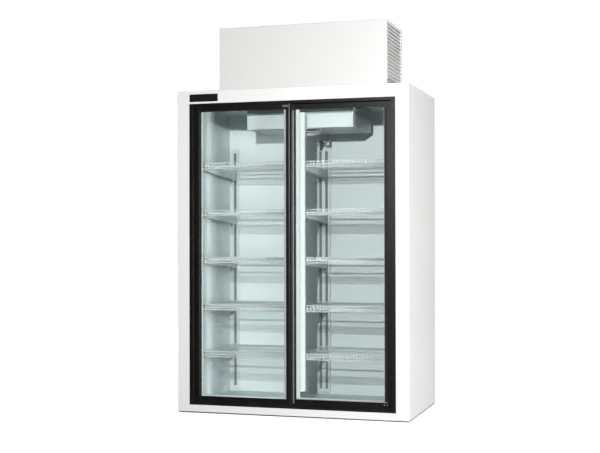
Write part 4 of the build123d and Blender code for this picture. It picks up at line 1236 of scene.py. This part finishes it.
@dataclass
class Shelving:
    """Slotted standards, cantilever arms and ten wire shelves."""

    wires: int = 33
    wire: float = 1.15
    upright: float = 1.9
    rod: float = 2.2
    thick_rod: float = 3.4
    lip: float = 15.0
    drop: float = 22.0
    columns: tuple[float, ...] = (-609.0, -20.25, 20.25, 609.0)
    slot_step: float = 12.0
    channel: float = 40.0
    slot_width: float = 18.0
    slot_height: float = 9.6
    slot_shift: float = -2.5
    first_hook: float = 332.5
    arm_drop: float = 9.3
    rod_shares: tuple[float, float] = (0.32, 0.67)

    def standards(self) -> tuple[Skin, Skin]:
        """Upright channels: slotted face sheets between side sheets, and painted shade behind the slots."""
        low, high = extent("shelf_standards")
        face, back, width, slot, tall = low[1], high[1], self.channel, self.slot_width, self.slot_height
        count = int((high[2] - low[2] - 40.0) / self.slot_step)
        hook = self.first_hook
        first = hook - math.floor((hook - low[2] - 20.0) / self.slot_step) * self.slot_step
        middles = first + np.arange(count) * self.slot_step
        zs = np.concatenate([[low[2]], np.stack([middles - tall / 2, middles + tall / 2], 1).ravel(),
            [high[2]]])
        pieces, slot_shades, half_shade = [], [], width / 2 - 1.6
        for x in self.columns:
            xs = [-width / 2, -slot / 2 + self.slot_shift, slot / 2 + self.slot_shift, width / 2]
            solid = np.ones((len(zs) - 1, 3), bool)
            solid[1::2, 1] = False
            pieces.append(pierced((x, 0, 0), Axis.X, Axis.Z, xs, zs.tolist(), solid, (face, face + 1.5)))
            for sign in (-1, 1):
                edge = x + sign * width / 2
                ring = [(edge, face + 1.5), (edge - sign * 1.5, face + 1.5), (edge - sign * 1.5, back),
                    (edge, back)]
                pieces.append(prism(ring, Axis.Z, low[2], high[2]))
            # A dark sheet at the back of each channel: painted shade inside the channel, where the slots let
            # in little light.
            web = [(x - half_shade, back - 4.0), (x + half_shade, back - 4.0), (x + half_shade, back),
                (x - half_shade, back)]
            slot_shades.append(prism(web, Axis.Z, low[2] + 1, high[2] - 1))
        return joined(pieces), joined(slot_shades)

    def arms(self, tops: list[float]) -> Skin:
        """Stamped arms with a round nose, a stiffening fold on top and two hooks each."""
        front, wall = corner("shelf_arms", False)[1], corner("shelf_standards", False)[1]
        nose = np.linspace(0, math.pi / 2, 5)[1:]
        pieces = []
        for top in tops:
            outline = [(front + 10.0, top), (wall, top)]
            for drop in (0.0, 48.0):
                hook = top - drop - 2.0
                outline += [(wall, hook), (wall + 7.0, hook), (wall + 7.0, hook - 8.0),
                    (wall + 3.0, hook - 8.0), (wall + 3.0, hook - 5.0), (wall, hook - 5.0)]
            outline += [(wall, top - 60.0), (front + 10.0, top - 17.0)]
            outline += [(front + 10 - 10 * math.sin(a), top - 7 - 10 * math.cos(a)) for a in nose]
            outline += [(front, top - 3.0), (front + 3.0, top)]
            for x in self.columns:
                pieces.append(prism(outline, Axis.X, x - 1.5, x + 1.5))
                pieces.append(rounded_box((x - 5.0, front + 12.0, top - 2.2),
                    (x + 5.0, wall - 6.0, top - 0.1), 0.6, 1))
        return joined(pieces)

    def shelf(self, node: str) -> Skin:
        """A wire shelf: wires from front to back on cross rods, and a ladder of rods along the front.

        Args:
            node: CAD node that it stands for.

        Returns:
            Round wires along Y, cross rods under them, upright wires at the front, and rods that edge the
            shelf.
        """
        low, high = extent(node)
        top, face, back = high[2], low[1], high[1]
        r, rod, stem = self.wire, self.rod, self.upright
        xs = np.linspace(low[0] + 2.0, high[0] - 2.0, self.wires)
        deck = tube(np.array([(0, back, top - r), (0, face + r, top - r)]), r, (1, 0, 0), 6)
        ends = [(0, face + stem, top + level) for level in (-self.drop, self.lip)]
        upright = tube(np.array(ends), stem, (1, 0, 0), 6)
        wires = [one.moved(x=x) for x in xs for one in (deck, upright)]
        under = top - 2 * r + 0.2
        thick = self.thick_rod
        behind = face + 2 * stem + rod - 0.2
        lines = [(face + share * (back - face), under - thick, thick) for share in self.rod_shares]
        lines += [(back - rod, under - rod, rod), (back - rod, top + rod - 0.3, rod)]
        lines += [(behind, top + level, rod) for level in (self.lip - rod, -5.0, rod - self.drop)]
        ends = (low[0] + 0.5, high[0] - 0.5)
        rods = [tube(np.array([(x, y, z) for x in ends]), size, (0, 0, 1), 8) for y, z, size in lines]
        return joined(wires + rods)

    def build(self) -> None:
        """Places the standards, the arms and every shelf."""
        channels, slot_shades = self.standards()
        place("slotted_standards", [(channels, STANDARD), (slot_shades, STANDARD_WEB_SHADE)], "shelf_standards")
        tops = [corner(f"left_shelf_{level}", True)[2] - self.arm_drop for level in range(1, 6)]
        place("cantilever_arms", [(self.arms(tops), STANDARD)], "shelf_arms")
        for side in ("left", "right"):
            for level in range(1, 6):
                node = f"{side}_shelf_{level}"
                place(f"{side}_wire_shelf_{level}", [(self.shelf(node), SHELF_COAT)], node, crease=60.0)


def blades(centre: tuple, axis: Axis, hub: float, tip: float, chord: float, tall: float, count: int) -> Skin:
    """A fan: twisted, cambered blades round a turned hub.

    Args:
        centre: Middle of the fan.
        axis: Its shaft.
        hub: Radius of the hub.
        tip: Radius at the blades' tips.
        chord: Width of a blade.
        tall: Height of the hub.
        count: Number of blades.

    Returns:
        For each blade a loop round its section at steps from root to tip: the angle across it is t chord over
        the radius, and its height t chord times a pitch that falls off outwards, plus a bow of 1 - 4 t
        squared.
    """
    steps, half_sheet, root, bore = 9, 0.6, hub * 0.8, 3.05
    shares = np.linspace(0, 1, steps)
    t = np.linspace(-0.5, 0.5, steps)
    loop_t = np.concatenate([t, t[::-1]])
    lift = np.repeat([half_sheet, -half_sheet], steps)
    radius = root + shares * (tip - root)
    width = chord * (0.72 + 0.38 * np.sin(shares * math.pi * 0.8))
    root_pitch, pitch_loss, bow = 32.0, 12.0, 0.06
    pitch = np.tan(np.radians(root_pitch - pitch_loss * shares))
    angle = loop_t * width[:, None] / np.maximum(radius[:, None], hub) * 0.95
    height = loop_t * (width * pitch)[:, None] + bow * chord * (1 - 4 * loop_t**2) + lift
    first, second = (axis.value + 1) % 3, (axis.value + 2) % 3
    pieces = []
    for number in range(count):
        turn = angle + number * 2 * math.pi / count
        points = np.zeros((*turn.shape, 3))
        points[..., first] = radius[:, None] * np.cos(turn)
        points[..., second] = radius[:, None] * np.sin(turn)
        points[..., axis.value] = height
        blade = grid(points + np.asarray(centre, float), False, True)
        size = len(loop_t)
        blade.caps = [list(range(size)), list(range((steps - 1) * size, steps * size))]
        pieces.append(blade)
    shape = [(bore, -tall / 2), (hub - 1, -tall / 2), (hub, 1 - tall / 2), (hub, tall / 2 - 1),
        (hub - 1, tall / 2)]
    shape += [(bore, tall / 2), (bore, -tall / 2)]
    return joined([*pieces, lathe(shape, centre, axis, 24)])


@dataclass
class UnitCooler:
    """The evaporator, its fan and guard, the drain, the cold control and the light switch."""

    fan: tuple[float, float, float] = (0.0, -76.5, 1713.0)
    # Height of the band of painted shade along the top of the cooler's front.
    shade_band: float = 52.0
    fins: int = 64
    drain_setback: float = 293.5
    hose_bend: float = 10.0
    hose_radius: float = 5.6
    hose_setback: float = 248.5
    tee_radius: float = 9.5
    strap_half: float = 110.5
    strap_sheet: float = 1.8
    motor_lift: float = 16.5
    shaft_drop: float = 7.0
    knob_radius: float = 17.0
    flutes: int = 12
    knob_points: int = 48
    spindle_bore: float = 3.05
    spindle_depth: float = 11.5

    def guard(self) -> Skin:
        """Wire rings that rise from a boss to the rim, on bent ribs."""
        x, y, top = self.fan
        drop = corner("fan_guard", False)[2] + 1.3
        radii = np.array([26.0, 41.0, 56.0, 71.0, 86.0, 100.5])
        share = (radii - radii[0]) / (radii[-1] - radii[0])
        levels = drop + (top - 1.5 - drop) * share**3
        count = 40
        turn = np.linspace(0, 2 * math.pi, count, endpoint=False)
        rings = []
        for radius, level in zip(radii, levels):
            path = np.stack([x + radius * np.cos(turn), y + radius * np.sin(turn), np.full(count, level)],
                axis=1)
            rings.append(tube(path, 1.3, (0, 0, 1), 6, True))
        for angle in np.linspace(0, 2 * math.pi, 5, endpoint=False):
            way = np.array([math.cos(angle), math.sin(angle)])
            reach = np.concatenate([[10.0], radii])
            rise = np.concatenate([[levels[0]], levels]) + 2.2
            path = np.stack([x + reach * way[0], y + reach * way[1], np.minimum(rise, top - 1.3)], axis=1)
            rings.append(tube(path, 1.4, (-way[1], way[0], 0), 6))
        boss = lathe([(0, 0.0), (14.0, 0.0), (15.0, 0.8), (15.0, 2.4), (0, 2.4)], (x, y, drop - 1.2), Axis.Z)
        return joined([*rings, boss])

    def coil(self) -> list[tuple[Skin, Finish]]:
        """Thin upright fins on hairpins of copper tube that bend at the left end."""
        low, high = extent("evaporator_coil")
        fins = []
        for x in np.linspace(low[0] + 16, high[0] - 16, self.fins):
            ring = [(low[1], low[2]), (high[1], low[2]), (high[1], high[2]), (low[1], high[2])]
            fins.append(prism(ring, Axis.X, x - 0.25, x + 0.25))
        tubes = []
        for y in np.linspace(low[1] + 25, high[1] - 25, 4):
            for z in np.linspace(low[2] + 20, high[2] - 20, 4)[::2]:
                rise = (high[2] - low[2] - 40) / 3
                path = [(high[0] - 14, y, z), (low[0] + 12, y, z), (low[0] + 12, y, z + rise),
                    (high[0] - 14, y, z + rise)]
                tubes.append(tube(bent(path, 10.0, 4), 4.5, (0, 1, 0), 8))
        return [(joined(fins), FINS), (joined(tubes), COPPER)]

    def motor(self) -> Skin:
        """A ribbed can on a bent strap."""
        x, y, top = self.fan
        level = top + self.motor_lift
        half = self.strap_half
        can = [(0, 0.0), (34, 0.0), (38, 3.0), (38, 14.0), (37, 15.0), (37, 17.0), (38, 18.0)]
        can += [(38, 44.0), (37, 45.0), (37, 47.0), (38, 48.0), (38, 54.0), (33, 60.0), (12, 60.0), (0, 60.0)]
        strap = bent([(-half, y, top + 1.8), (-half, y, level - 1.4), (half, y, level - 1.4),
            (half, y, top + 1.8)], 4)
        wide = np.stack([strap + (0, side, 0) for side in (-10, 10)])
        inner = wide.copy()
        inner[..., 0] *= 1 - self.strap_sheet / half
        inner[..., 2] = np.minimum(inner[..., 2], level - 3.0)
        band = np.concatenate([wide.transpose(1, 0, 2), inner.transpose(1, 0, 2)[:, ::-1]], axis=1)
        skin = grid(band, False, True)
        count = len(strap)
        skin.caps = [[0, 1, 2, 3], [4 * count - 4, 4 * count - 3, 4 * count - 2, 4 * count - 1]]
        shaft_bottom = top - self.shaft_drop - level
        shaft = [(0, shaft_bottom), (3.0, shaft_bottom), (3.0, 0.3), (0, 0.3)]
        return joined([lathe(can, (x, y, level), Axis.Z, 36), lathe(shaft, (x, y, level), Axis.Z, 16), skin])

    def drain(self) -> None:
        """The black tee with socket collars, and the grey hose that loops to it."""
        low, high = extent("drain_elbow")
        x, y = low[0] + self.tee_radius, self.drain_setback
        foot, top = low[2], high[2]
        inlet = top - self.tee_radius
        branch = corner("shelf_standards", True)[2] + 10.5
        body = lathe([(0, foot), (8.4, foot), (9.4, foot + 1), (9.4, foot + 8), (8.2, foot + 9),
            (8.2, top - 3), (6, top), (0, top)], (x, y, 0), Axis.Z, 24)
        stub = lathe([(0, 0.0), (8.0, 0.0), (8.0, 7.0), (9.4, 8.0), (9.4, 15.5), (0, 15.5)], (x, y, inlet),
            Axis.X, 24)
        rear = lathe([(0, 0.0), (8.0, 0.0), (8.0, 44.0), (9.4, 45.0), (9.4, 49.5), (0, 49.5)], (x, y, branch),
            Axis.Y, 24)
        place("drain_tee", [(joined([body, stub, rear]), BLACK_PLASTIC)], "drain_elbow")
        hose_low, hose_high = extent("drain_hose")
        side = hose_high[0] - 6.0
        floor = hose_low[2] + 6.0
        route = [(side, self.hose_setback, hose_high[2]), (side, self.hose_setback, hose_high[2] - 18),
            (side, y, floor), (x + 27, y, floor), (x + 27, y, inlet), (x + 16, y, inlet)]
        path = bent(route, self.hose_bend, 6)
        step = np.linalg.norm(np.diff(path, axis=0), axis=1)
        keep = np.concatenate([[True], step > 0.01])
        place("looped_hose", [(tube(path[keep], self.hose_radius, (0.31, 0.87, 0.38), 16), HOSE)],
            "drain_hose", crease=60.0)

    def controls(self) -> None:
        """The cold control with a fluted grip, and the rocker of the light switch."""
        low, high = extent("cold_control_knob")
        y, z = (low[1] + high[1]) / 2, (low[2] + high[2]) / 2
        back = high[0]
        count = self.knob_points
        turn = np.linspace(0, 2 * math.pi, count, endpoint=False)
        radius = self.knob_radius + 0.8 * np.cos(self.flutes * turn)
        hole = self.spindle_bore * np.stack([np.cos(turn), np.sin(turn)])
        rows = []
        for depth in (self.spindle_depth, 0.0):
            rows.append(np.stack([np.full(count, back - depth), y + hole[0], z + hole[1]], 1))
        for depth, scale in ((0.0, 0.97), (1.0, 1.0), (13.0, 0.96), (15.0, 0.88)):
            across, up = radius * scale * np.cos(turn), radius * scale * np.sin(turn)
            rows.append(np.stack([np.full(count, back - depth), y + across, z + up], 1))
        skirt = grid(np.stack(rows), False, True)
        skirt.caps = [list(range(count)), list(range(5 * count, 6 * count))]
        grip = rounded_box((low[0], y - 14, z - 3), (back - 14.5, y + 14, z + 3), 1.4, 3)
        place("cold_control", [(joined([skirt, grip]), BLACK_PLASTIC)], "cold_control_knob",
            body="cold_control_knob")
        dress("light_switch", BLACK_PLASTIC)

    def trim(self) -> None:
        """Screws on the housing, and a dark band of painted shade along the top of its front."""
        low, high = extent("evaporator_housing")
        xs = np.linspace(low[0] + 30, high[0] - 30, 6)
        spots = [(x, low[1] + 0.1, z) for x in xs[::5] for z in (low[2] + 18, high[2] - 18)]
        front = screws(spots, Axis.Y, -1, 3.2)
        setbacks = (low[1] + 40, (low[1] + high[1]) / 2, high[1] - 40)
        side_spots = [(high[0] - 0.1, y, low[2] + 16) for y in setbacks]
        sides = screws(side_spots, Axis.X, 1, 3.2)
        place("cooler_screws", [(joined([front, sides]), PLATED)])
        # The band is painted shade: a dark sheet where the head of the door frame shades the top of the
        # cooler's front.
        band = rounded_box((low[0] + 11.0, low[1] - 0.9, high[2] - self.shade_band),
            (high[0], low[1] + 0.1, high[2] - 0.2), 0.3, 2)
        place("cooler_painted_shade_band", [(band, COOLER_PAINTED_SHADE)])

    def build(self) -> None:
        """Places the cooler's pieces."""
        dress("evaporator_housing", COOLER_PAINT)
        place("finned_coil", self.coil(), "evaporator_coil")
        place("cooler_motor", [(self.motor(), MOTOR)], "evaporator_motor")
        fan = blades(self.fan, Axis.Z, 14.0, 90.0, 46.0, 15.0, 4)
        place("cooler_fan_blades", [(fan, FAN_METAL)], "evaporator_fan", body="evaporator_fan", crease=40.0)
        place("wire_fan_guard", [(self.guard(), SHELF_COAT)], "fan_guard", crease=60.0)
        self.drain()
        self.controls()
        self.trim()


@dataclass
class MachineHood:
    """The hood on the roof and the condensing unit under it."""

    fan: tuple[float, float, float] = (442.0, -204.0, 2088.0)
    pitch: float = 21.0
    border: float = 14.0
    edge: float = 5.0
    sheet: float = 1.2
    reach: float = 10.0
    rise: float = 24.0
    motor_x: float = 340.0
    fins: int = 72
    shell_radius: float = 76.0
    foot_spread: float = 72.0
    screw_run: tuple[float, float] = (-370.0, -36.0)

    def compressor(self) -> list[tuple[Skin, Finish]]:
        """A welded shell with a domed top and a seam band, its plate and feet, a terminal box and a pipe."""
        low, high = extent("compressor")
        x, y = (low[0] + high[0]) / 2, (low[1] + high[1]) / 2
        foot, top, r = low[2] + 12.0, high[2], self.shell_radius
        dome = np.linspace(0, math.pi / 2, 9)
        shape = [(0.0, foot), (r - 14, foot), (r - 3, foot + 9), (r, foot + 22), (r, foot + 104)]
        shape += [(r + 2, foot + 105), (r + 2, foot + 113), (r, foot + 114)]
        shape += [(r * math.cos(a), top - 44 + 44 * math.sin(a)) for a in dome]
        shell = lathe(shape, (x, y, 0), Axis.Z, 48)
        plate = rounded_box((low[0], low[1], low[2]), (high[0], high[1], low[2] + 4), 1.5)
        pad = [(0, 4.0), (13, 4.0), (11, 8.0), (13, 12.5), (0, 12.5)]
        spread = (-self.foot_spread, self.foot_spread)
        feet = [lathe(pad, (x + sx, y + sy, low[2]), Axis.Z, 20) for sx in spread for sy in spread]
        box = rounded_box((x - 30, y - r - 14, foot + 60), (x + 30, y - r + 10, foot + 120), 3.0)
        line = tube(bent([(x + 40, y, top - 30), (x + 88, y, top - 30), (x + 88, y, foot + 40)], 14.0, 5),
            4.5, (0, 1, 0))
        return [(joined([shell, plate, box]), COMPRESSOR), (joined(feet), RUBBER), (line, COPPER)]

    def condenser(self) -> list[tuple[Skin, Finish]]:
        """Close fins on copper rows between two end plates."""
        low, high = extent("condenser_coil")
        fins = []
        for y in np.linspace(low[1] + 10, high[1] - 10, self.fins):
            ring = [(low[0] + 2, low[2] + 3), (high[0] - 2, low[2] + 3), (high[0] - 2, high[2] - 3),
                (low[0] + 2, high[2] - 3)]
            fins.append(prism(ring, Axis.Y, y - 0.25, y + 0.25))
        places = (low[1] + 7, high[1] - 8.6)
        ends = [rounded_box((low[0], y, low[2]), (high[0], y + 1.6, high[2]), 0.7, 1) for y in places]
        rows = []
        for x in np.linspace(low[0] + 14, high[0] - 14, 3):
            for z in np.linspace(low[2] + 20, high[2] - 45, 6):
                path = [(x, high[1] - 6, z), (x, low[1] + 5, z), (x, low[1] + 5, z + 25),
                    (x, high[1] - 6, z + 25)]
                rows.append(tube(bent(path, 9.0, 3), 4.2, (1, 0, 0), 8))
        return [(joined(fins), FINS), (joined(ends), GALVANISED), (joined(rows), COPPER)]

    def motor(self) -> Skin:
        """The fan motor: a banded can on a flat stand."""
        foot_level = corner("condenser_motor", False)[2]
        x, y, z = self.motor_x, self.fan[1], self.fan[2]
        can = [(0, 0.0), (30, 0.0), (42, 6.0), (42, 26.0), (40.5, 27.0), (40.5, 53.0), (42, 54.0), (42, 74.0)]
        can += [(30, 80.0), (12, 80.0), (12, 84.0), (3, 84.0), (3, 109.5), (0, 109.5)]
        stand = rounded_box((x + 37, y - 25, foot_level), (x + 43, y + 25, z - 38), 1.2)
        foot = rounded_box((x + 20, y - 25, foot_level), (x + 60, y + 25, foot_level + 3), 1.0)
        return joined([lathe(can, (x, y, z), Axis.X, 36), stand, foot])

    def louvred_side(self, node: str, sign: int) -> Skin:
        """A side sheet with close slats that slope up inwards.

        Args:
            node: CAD node that it stands for.
            sign: 1 for the right side, -1 for the left.

        Returns:
            A pierced sheet, one bent prism along Y for each slat, and the folded edges at its ends.
        """
        low, high = extent(node)
        face = (high if sign > 0 else low)[0]
        count = int((high[2] - low[2] - 2 * self.border) / self.pitch)
        foot = low[2] + self.border
        window = [low[1] + self.edge, high[1] - self.edge]
        ys, zs = [low[1], *window, high[1]], [low[2], foot, foot + count * self.pitch, high[2]]
        solid = np.ones((3, 3), bool)
        solid[1, 1] = False
        span = sorted((face, face - sign * self.sheet))
        parts = [pierced((0, 0, 0), Axis.Y, Axis.Z, ys, zs, solid, tuple(span))]
        for y in (window[0] - self.sheet, window[1]):
            box = sorted((face, face - sign * (self.reach + 2.0)))
            parts.append(rounded_box((box[0], y, zs[1]), (box[1], y + self.sheet, zs[2]), 0.4, 1))
        for k in range(count):
            z = foot + k * self.pitch
            line = [(0.0, z), (0.0, z + 3.0), (self.reach, z + self.rise)]
            line += [(self.reach, z + self.rise - 1.6), (self.sheet, z + 2.2), (self.sheet, z)]
            profile = np.array([(face - sign * depth, level) for depth, level in line])
            parts.append(prism(profile, Axis.Y, window[0] + 0.1, window[1] - 0.1))
        return joined(parts)

    def folded_sheets(self) -> None:
        """The front pan with round folds, and the top sheet."""
        low, high = extent("hood_front")
        place("hood_front_pan", [(pan(low, high, 1.6, 1.2), HOOD_PAINT)], "hood_front")
        low, high = extent("hood_top")
        place("hood_lid", [(rounded_box(tuple(low), tuple(high), 0.55, 3), HOOD_PAINT)], "hood_top")

    def fasteners(self) -> None:
        """Screws along the foot of the hood's side sheets and down its rear edges."""
        low, high = corner("hood_rear", False), corner("hood_top", True)
        levels = np.linspace(low[2] + 40, high[2] - 40, 4)
        backs = [(x, high[1], z) for x in (low[0] + 14, high[0] - 14) for z in levels]
        parts = [screws(backs, Axis.Y, 1, 3.6)]
        for node, sign in (("hood_left_louvres", -1), ("hood_right_louvres", 1)):
            edge = corner(node, sign > 0)[0]
            spots = [(edge, y, low[2] + 7) for y in np.linspace(*self.screw_run, 4)]
            parts.append(screws(spots, Axis.X, sign, 3.6))
        place("hood_screws", [(joined(parts), PLATED)])

    def build(self) -> None:
        """Places the hood and what it covers."""
        for side, sign in (("left", -1), ("right", 1)):
            node = f"hood_{side}_louvres"
            place(f"hood_{side}_slats", [(self.louvred_side(node, sign), HOOD_PAINT)], node)
        self.folded_sheets()
        dress("hood_rear", GALVANISED)
        dress("condensing_base", GALVANISED)
        place("hermetic_compressor", self.compressor(), "compressor")
        place("finned_condenser", self.condenser(), "condenser_coil")
        place("fan_motor", [(self.motor(), MOTOR)], "condenser_motor")
        fan = blades(self.fan, Axis.X, 14.0, 125.0, 62.0, 15.0, 4)
        place("condenser_fan_blades", [(fan, FAN_METAL)], "condenser_fan", body="condenser_fan", crease=40.0)
        self.fasteners()


@dataclass
class Studio:
    """The floor, the light and the camera of the photograph."""

    lens: float = 69.50
    eye: tuple[float, float, float] = (2.0641, -6.8876, 1.0627)
    turn: tuple[float, float, float] = (90.462, 0.111, 17.153)
    fill: float = 0.02
    floor_bounce: float = 0.12
    veil: float = 0.25
    floor_half: float = 30.0

    def camera(self) -> None:
        """A camera at the photograph's place, with its angle of view across 600 pixels."""
        data = bpy.data.cameras.new("photo_camera")
        data.lens = self.lens
        data.sensor_width = 36.0
        data.sensor_fit = "HORIZONTAL"
        data.clip_end = 60.0
        made = link("photo_camera", data)
        made.location = self.eye
        made.rotation_euler = [math.radians(angle) for angle in self.turn]
        bpy.context.scene.camera = made

    @staticmethod
    def lamp(name: str, place_m: tuple, aim: tuple, watts: float, width: float, height: float,
            glints: bool = True) -> None:
        """A flat lamp.

        Args:
            name: Its name.
            place_m: Where it hangs, in metres.
            aim: The point that it faces.
            watts: Its power.
            width: Its width.
            height: Its height.
            glints: Whether shiny surfaces mirror it.
        """
        data = bpy.data.lights.new(name, "AREA")
        data.shape = "RECTANGLE"
        data.size, data.size_y, data.energy = width, height, watts
        made = link(name, data)
        made.location = place_m
        made.visible_glossy = glints
        way = np.array(aim) - np.array(place_m)
        flat = math.hypot(way[0], way[1])
        made.rotation_euler = (math.atan2(flat, -way[2]), 0.0, math.atan2(-way[0], way[1]))

    def seen_directly(self, g: Graph) -> bpy.types.NodeSocket:
        """1 to the camera, veil to a ray that came through glass, otherwise 0."""
        ray = g.add("LightPath").outputs
        passed = g.maths("MULTIPLY", ray["Is Transmission Ray"], self.veil)
        return g.maths("MAXIMUM", ray["Is Camera Ray"], passed)

    def ground(self) -> None:
        """A pale floor that keeps the object's shadow and looks white to the camera."""
        size = self.floor_half
        mesh = bpy.data.meshes.new("studio_floor")
        mesh.from_pydata([(-size, -size, 0), (size, -size, 0), (size, size, 0), (-size, size, 0)], [],
            [(0, 1, 2, 3)])
        made = link("studio_floor", mesh)
        finish, g = blank("pale_floor")
        direct = self.seen_directly(g)
        place_m = g.add("TexCoord").outputs["Object"]
        away = g.add("VectorMath", {0: place_m}, operation="LENGTH").outputs["Value"]
        far = g.add("MapRange", {"Value": away, 1: 1.2, 2: 4.0, 3: 0.8, 4: 1.1},
            interpolation_type="SMOOTHSTEP")
        parts = g.add("SeparateXYZ", {0: place_m}).outputs
        beside = g.maths("SUBTRACT", g.maths("ABSOLUTE", parts[0]), CAD_BOX[1][0])
        before = g.maths("SUBTRACT", g.maths("ABSOLUTE", parts[1]), CAD_BOX[1][1])
        clear = g.add("MapRange", {"Value": g.maths("MAXIMUM", beside, before), 1: -0.004,
            2: 0.006}).outputs[0]
        lift = g.maths("MULTIPLY", g.maths("MULTIPLY", direct, clear), far.outputs[0])
        tone = g.add("MapRange", {"Value": g.add("LightPath").outputs["Is Camera Ray"], 3: self.floor_bounce,
            4: 0.5}).outputs[0]
        shader = g.add("BsdfPrincipled", {"Base Color": tone, "Roughness": 0.9,
            "Emission Color": (1, 1, 1, 1)})
        g.tree.links.new(lift, shader.inputs["Emission Strength"])
        g.add("OutputMaterial", {"Surface": shader.outputs[0]})
        mesh.materials.append(finish)

    def world(self) -> None:
        """Even grey light all round, seen as white."""
        world = bpy.data.worlds.new("studio_world")
        world.use_nodes = True
        world.node_tree.nodes.clear()
        g = Graph(world.node_tree)
        direct = self.seen_directly(g)
        strength = g.maths("MULTIPLY_ADD", direct, 1.0 - self.fill, c=self.fill)
        shade = g.add("Background", {"Color": (1, 1, 1, 1), "Strength": strength})
        g.add("OutputWorld", {"Surface": shade.outputs[0]})
        bpy.context.scene.world = world

    def build(self) -> None:
        """Sets up the view, the lamps, the floor and the world."""
        bpy.context.scene.view_settings.view_transform = "Standard"
        self.camera()
        self.world()
        self.ground()
        self.lamp("key_lamp", (0.94, -5.35, 2.11), (0.0, 0.0, 1.1), 216.0, 0.09, 0.09)
        self.lamp("side_lamp", (4.9, -4.0, 1.0), (0.2, 0.0, 0.9), 262.0, 1.6, 1.4)
        self.lamp("wing_lamp", (5.4, -1.85, 1.1), (0.0, 0.0, 1.0), 125.0, 0.4, 1.6)
        self.lamp("back_lamp", (-3.2, 5.2, 2.6), (0.0, 0.0, 1.1), 330.0, 2.0, 2.0, False)
        self.lamp("top_lamp", (0.0, 1.2, 6.0), (0.0, 0.2, 2.0), 120.0, 1.6, 1.2, False)
        self.lamp("flank_lamp", (5.0, -0.9, 1.1), (0.7, 0.0, 1.0), 113.0, 2.2, 2.4, False)


def main() -> None:
    """Builds the sub-assemblies in order."""
    logging.basicConfig(level=logging.INFO, format="%(message)s")
    GROUPS.update(grain=grain_group(), wear=wear_group(), dust=dust_group())
    for part in (Cabinet(), DoorFrame(), SlidingDoor("left", profile_lap=14.5), SlidingDoor("right"),
            CentreLamp(), Shelving(), UnitCooler(), MachineHood(), Studio()):
        log.info("building %s", type(part).__name__)
        part.build()


if __name__ == "__main__":
    main()
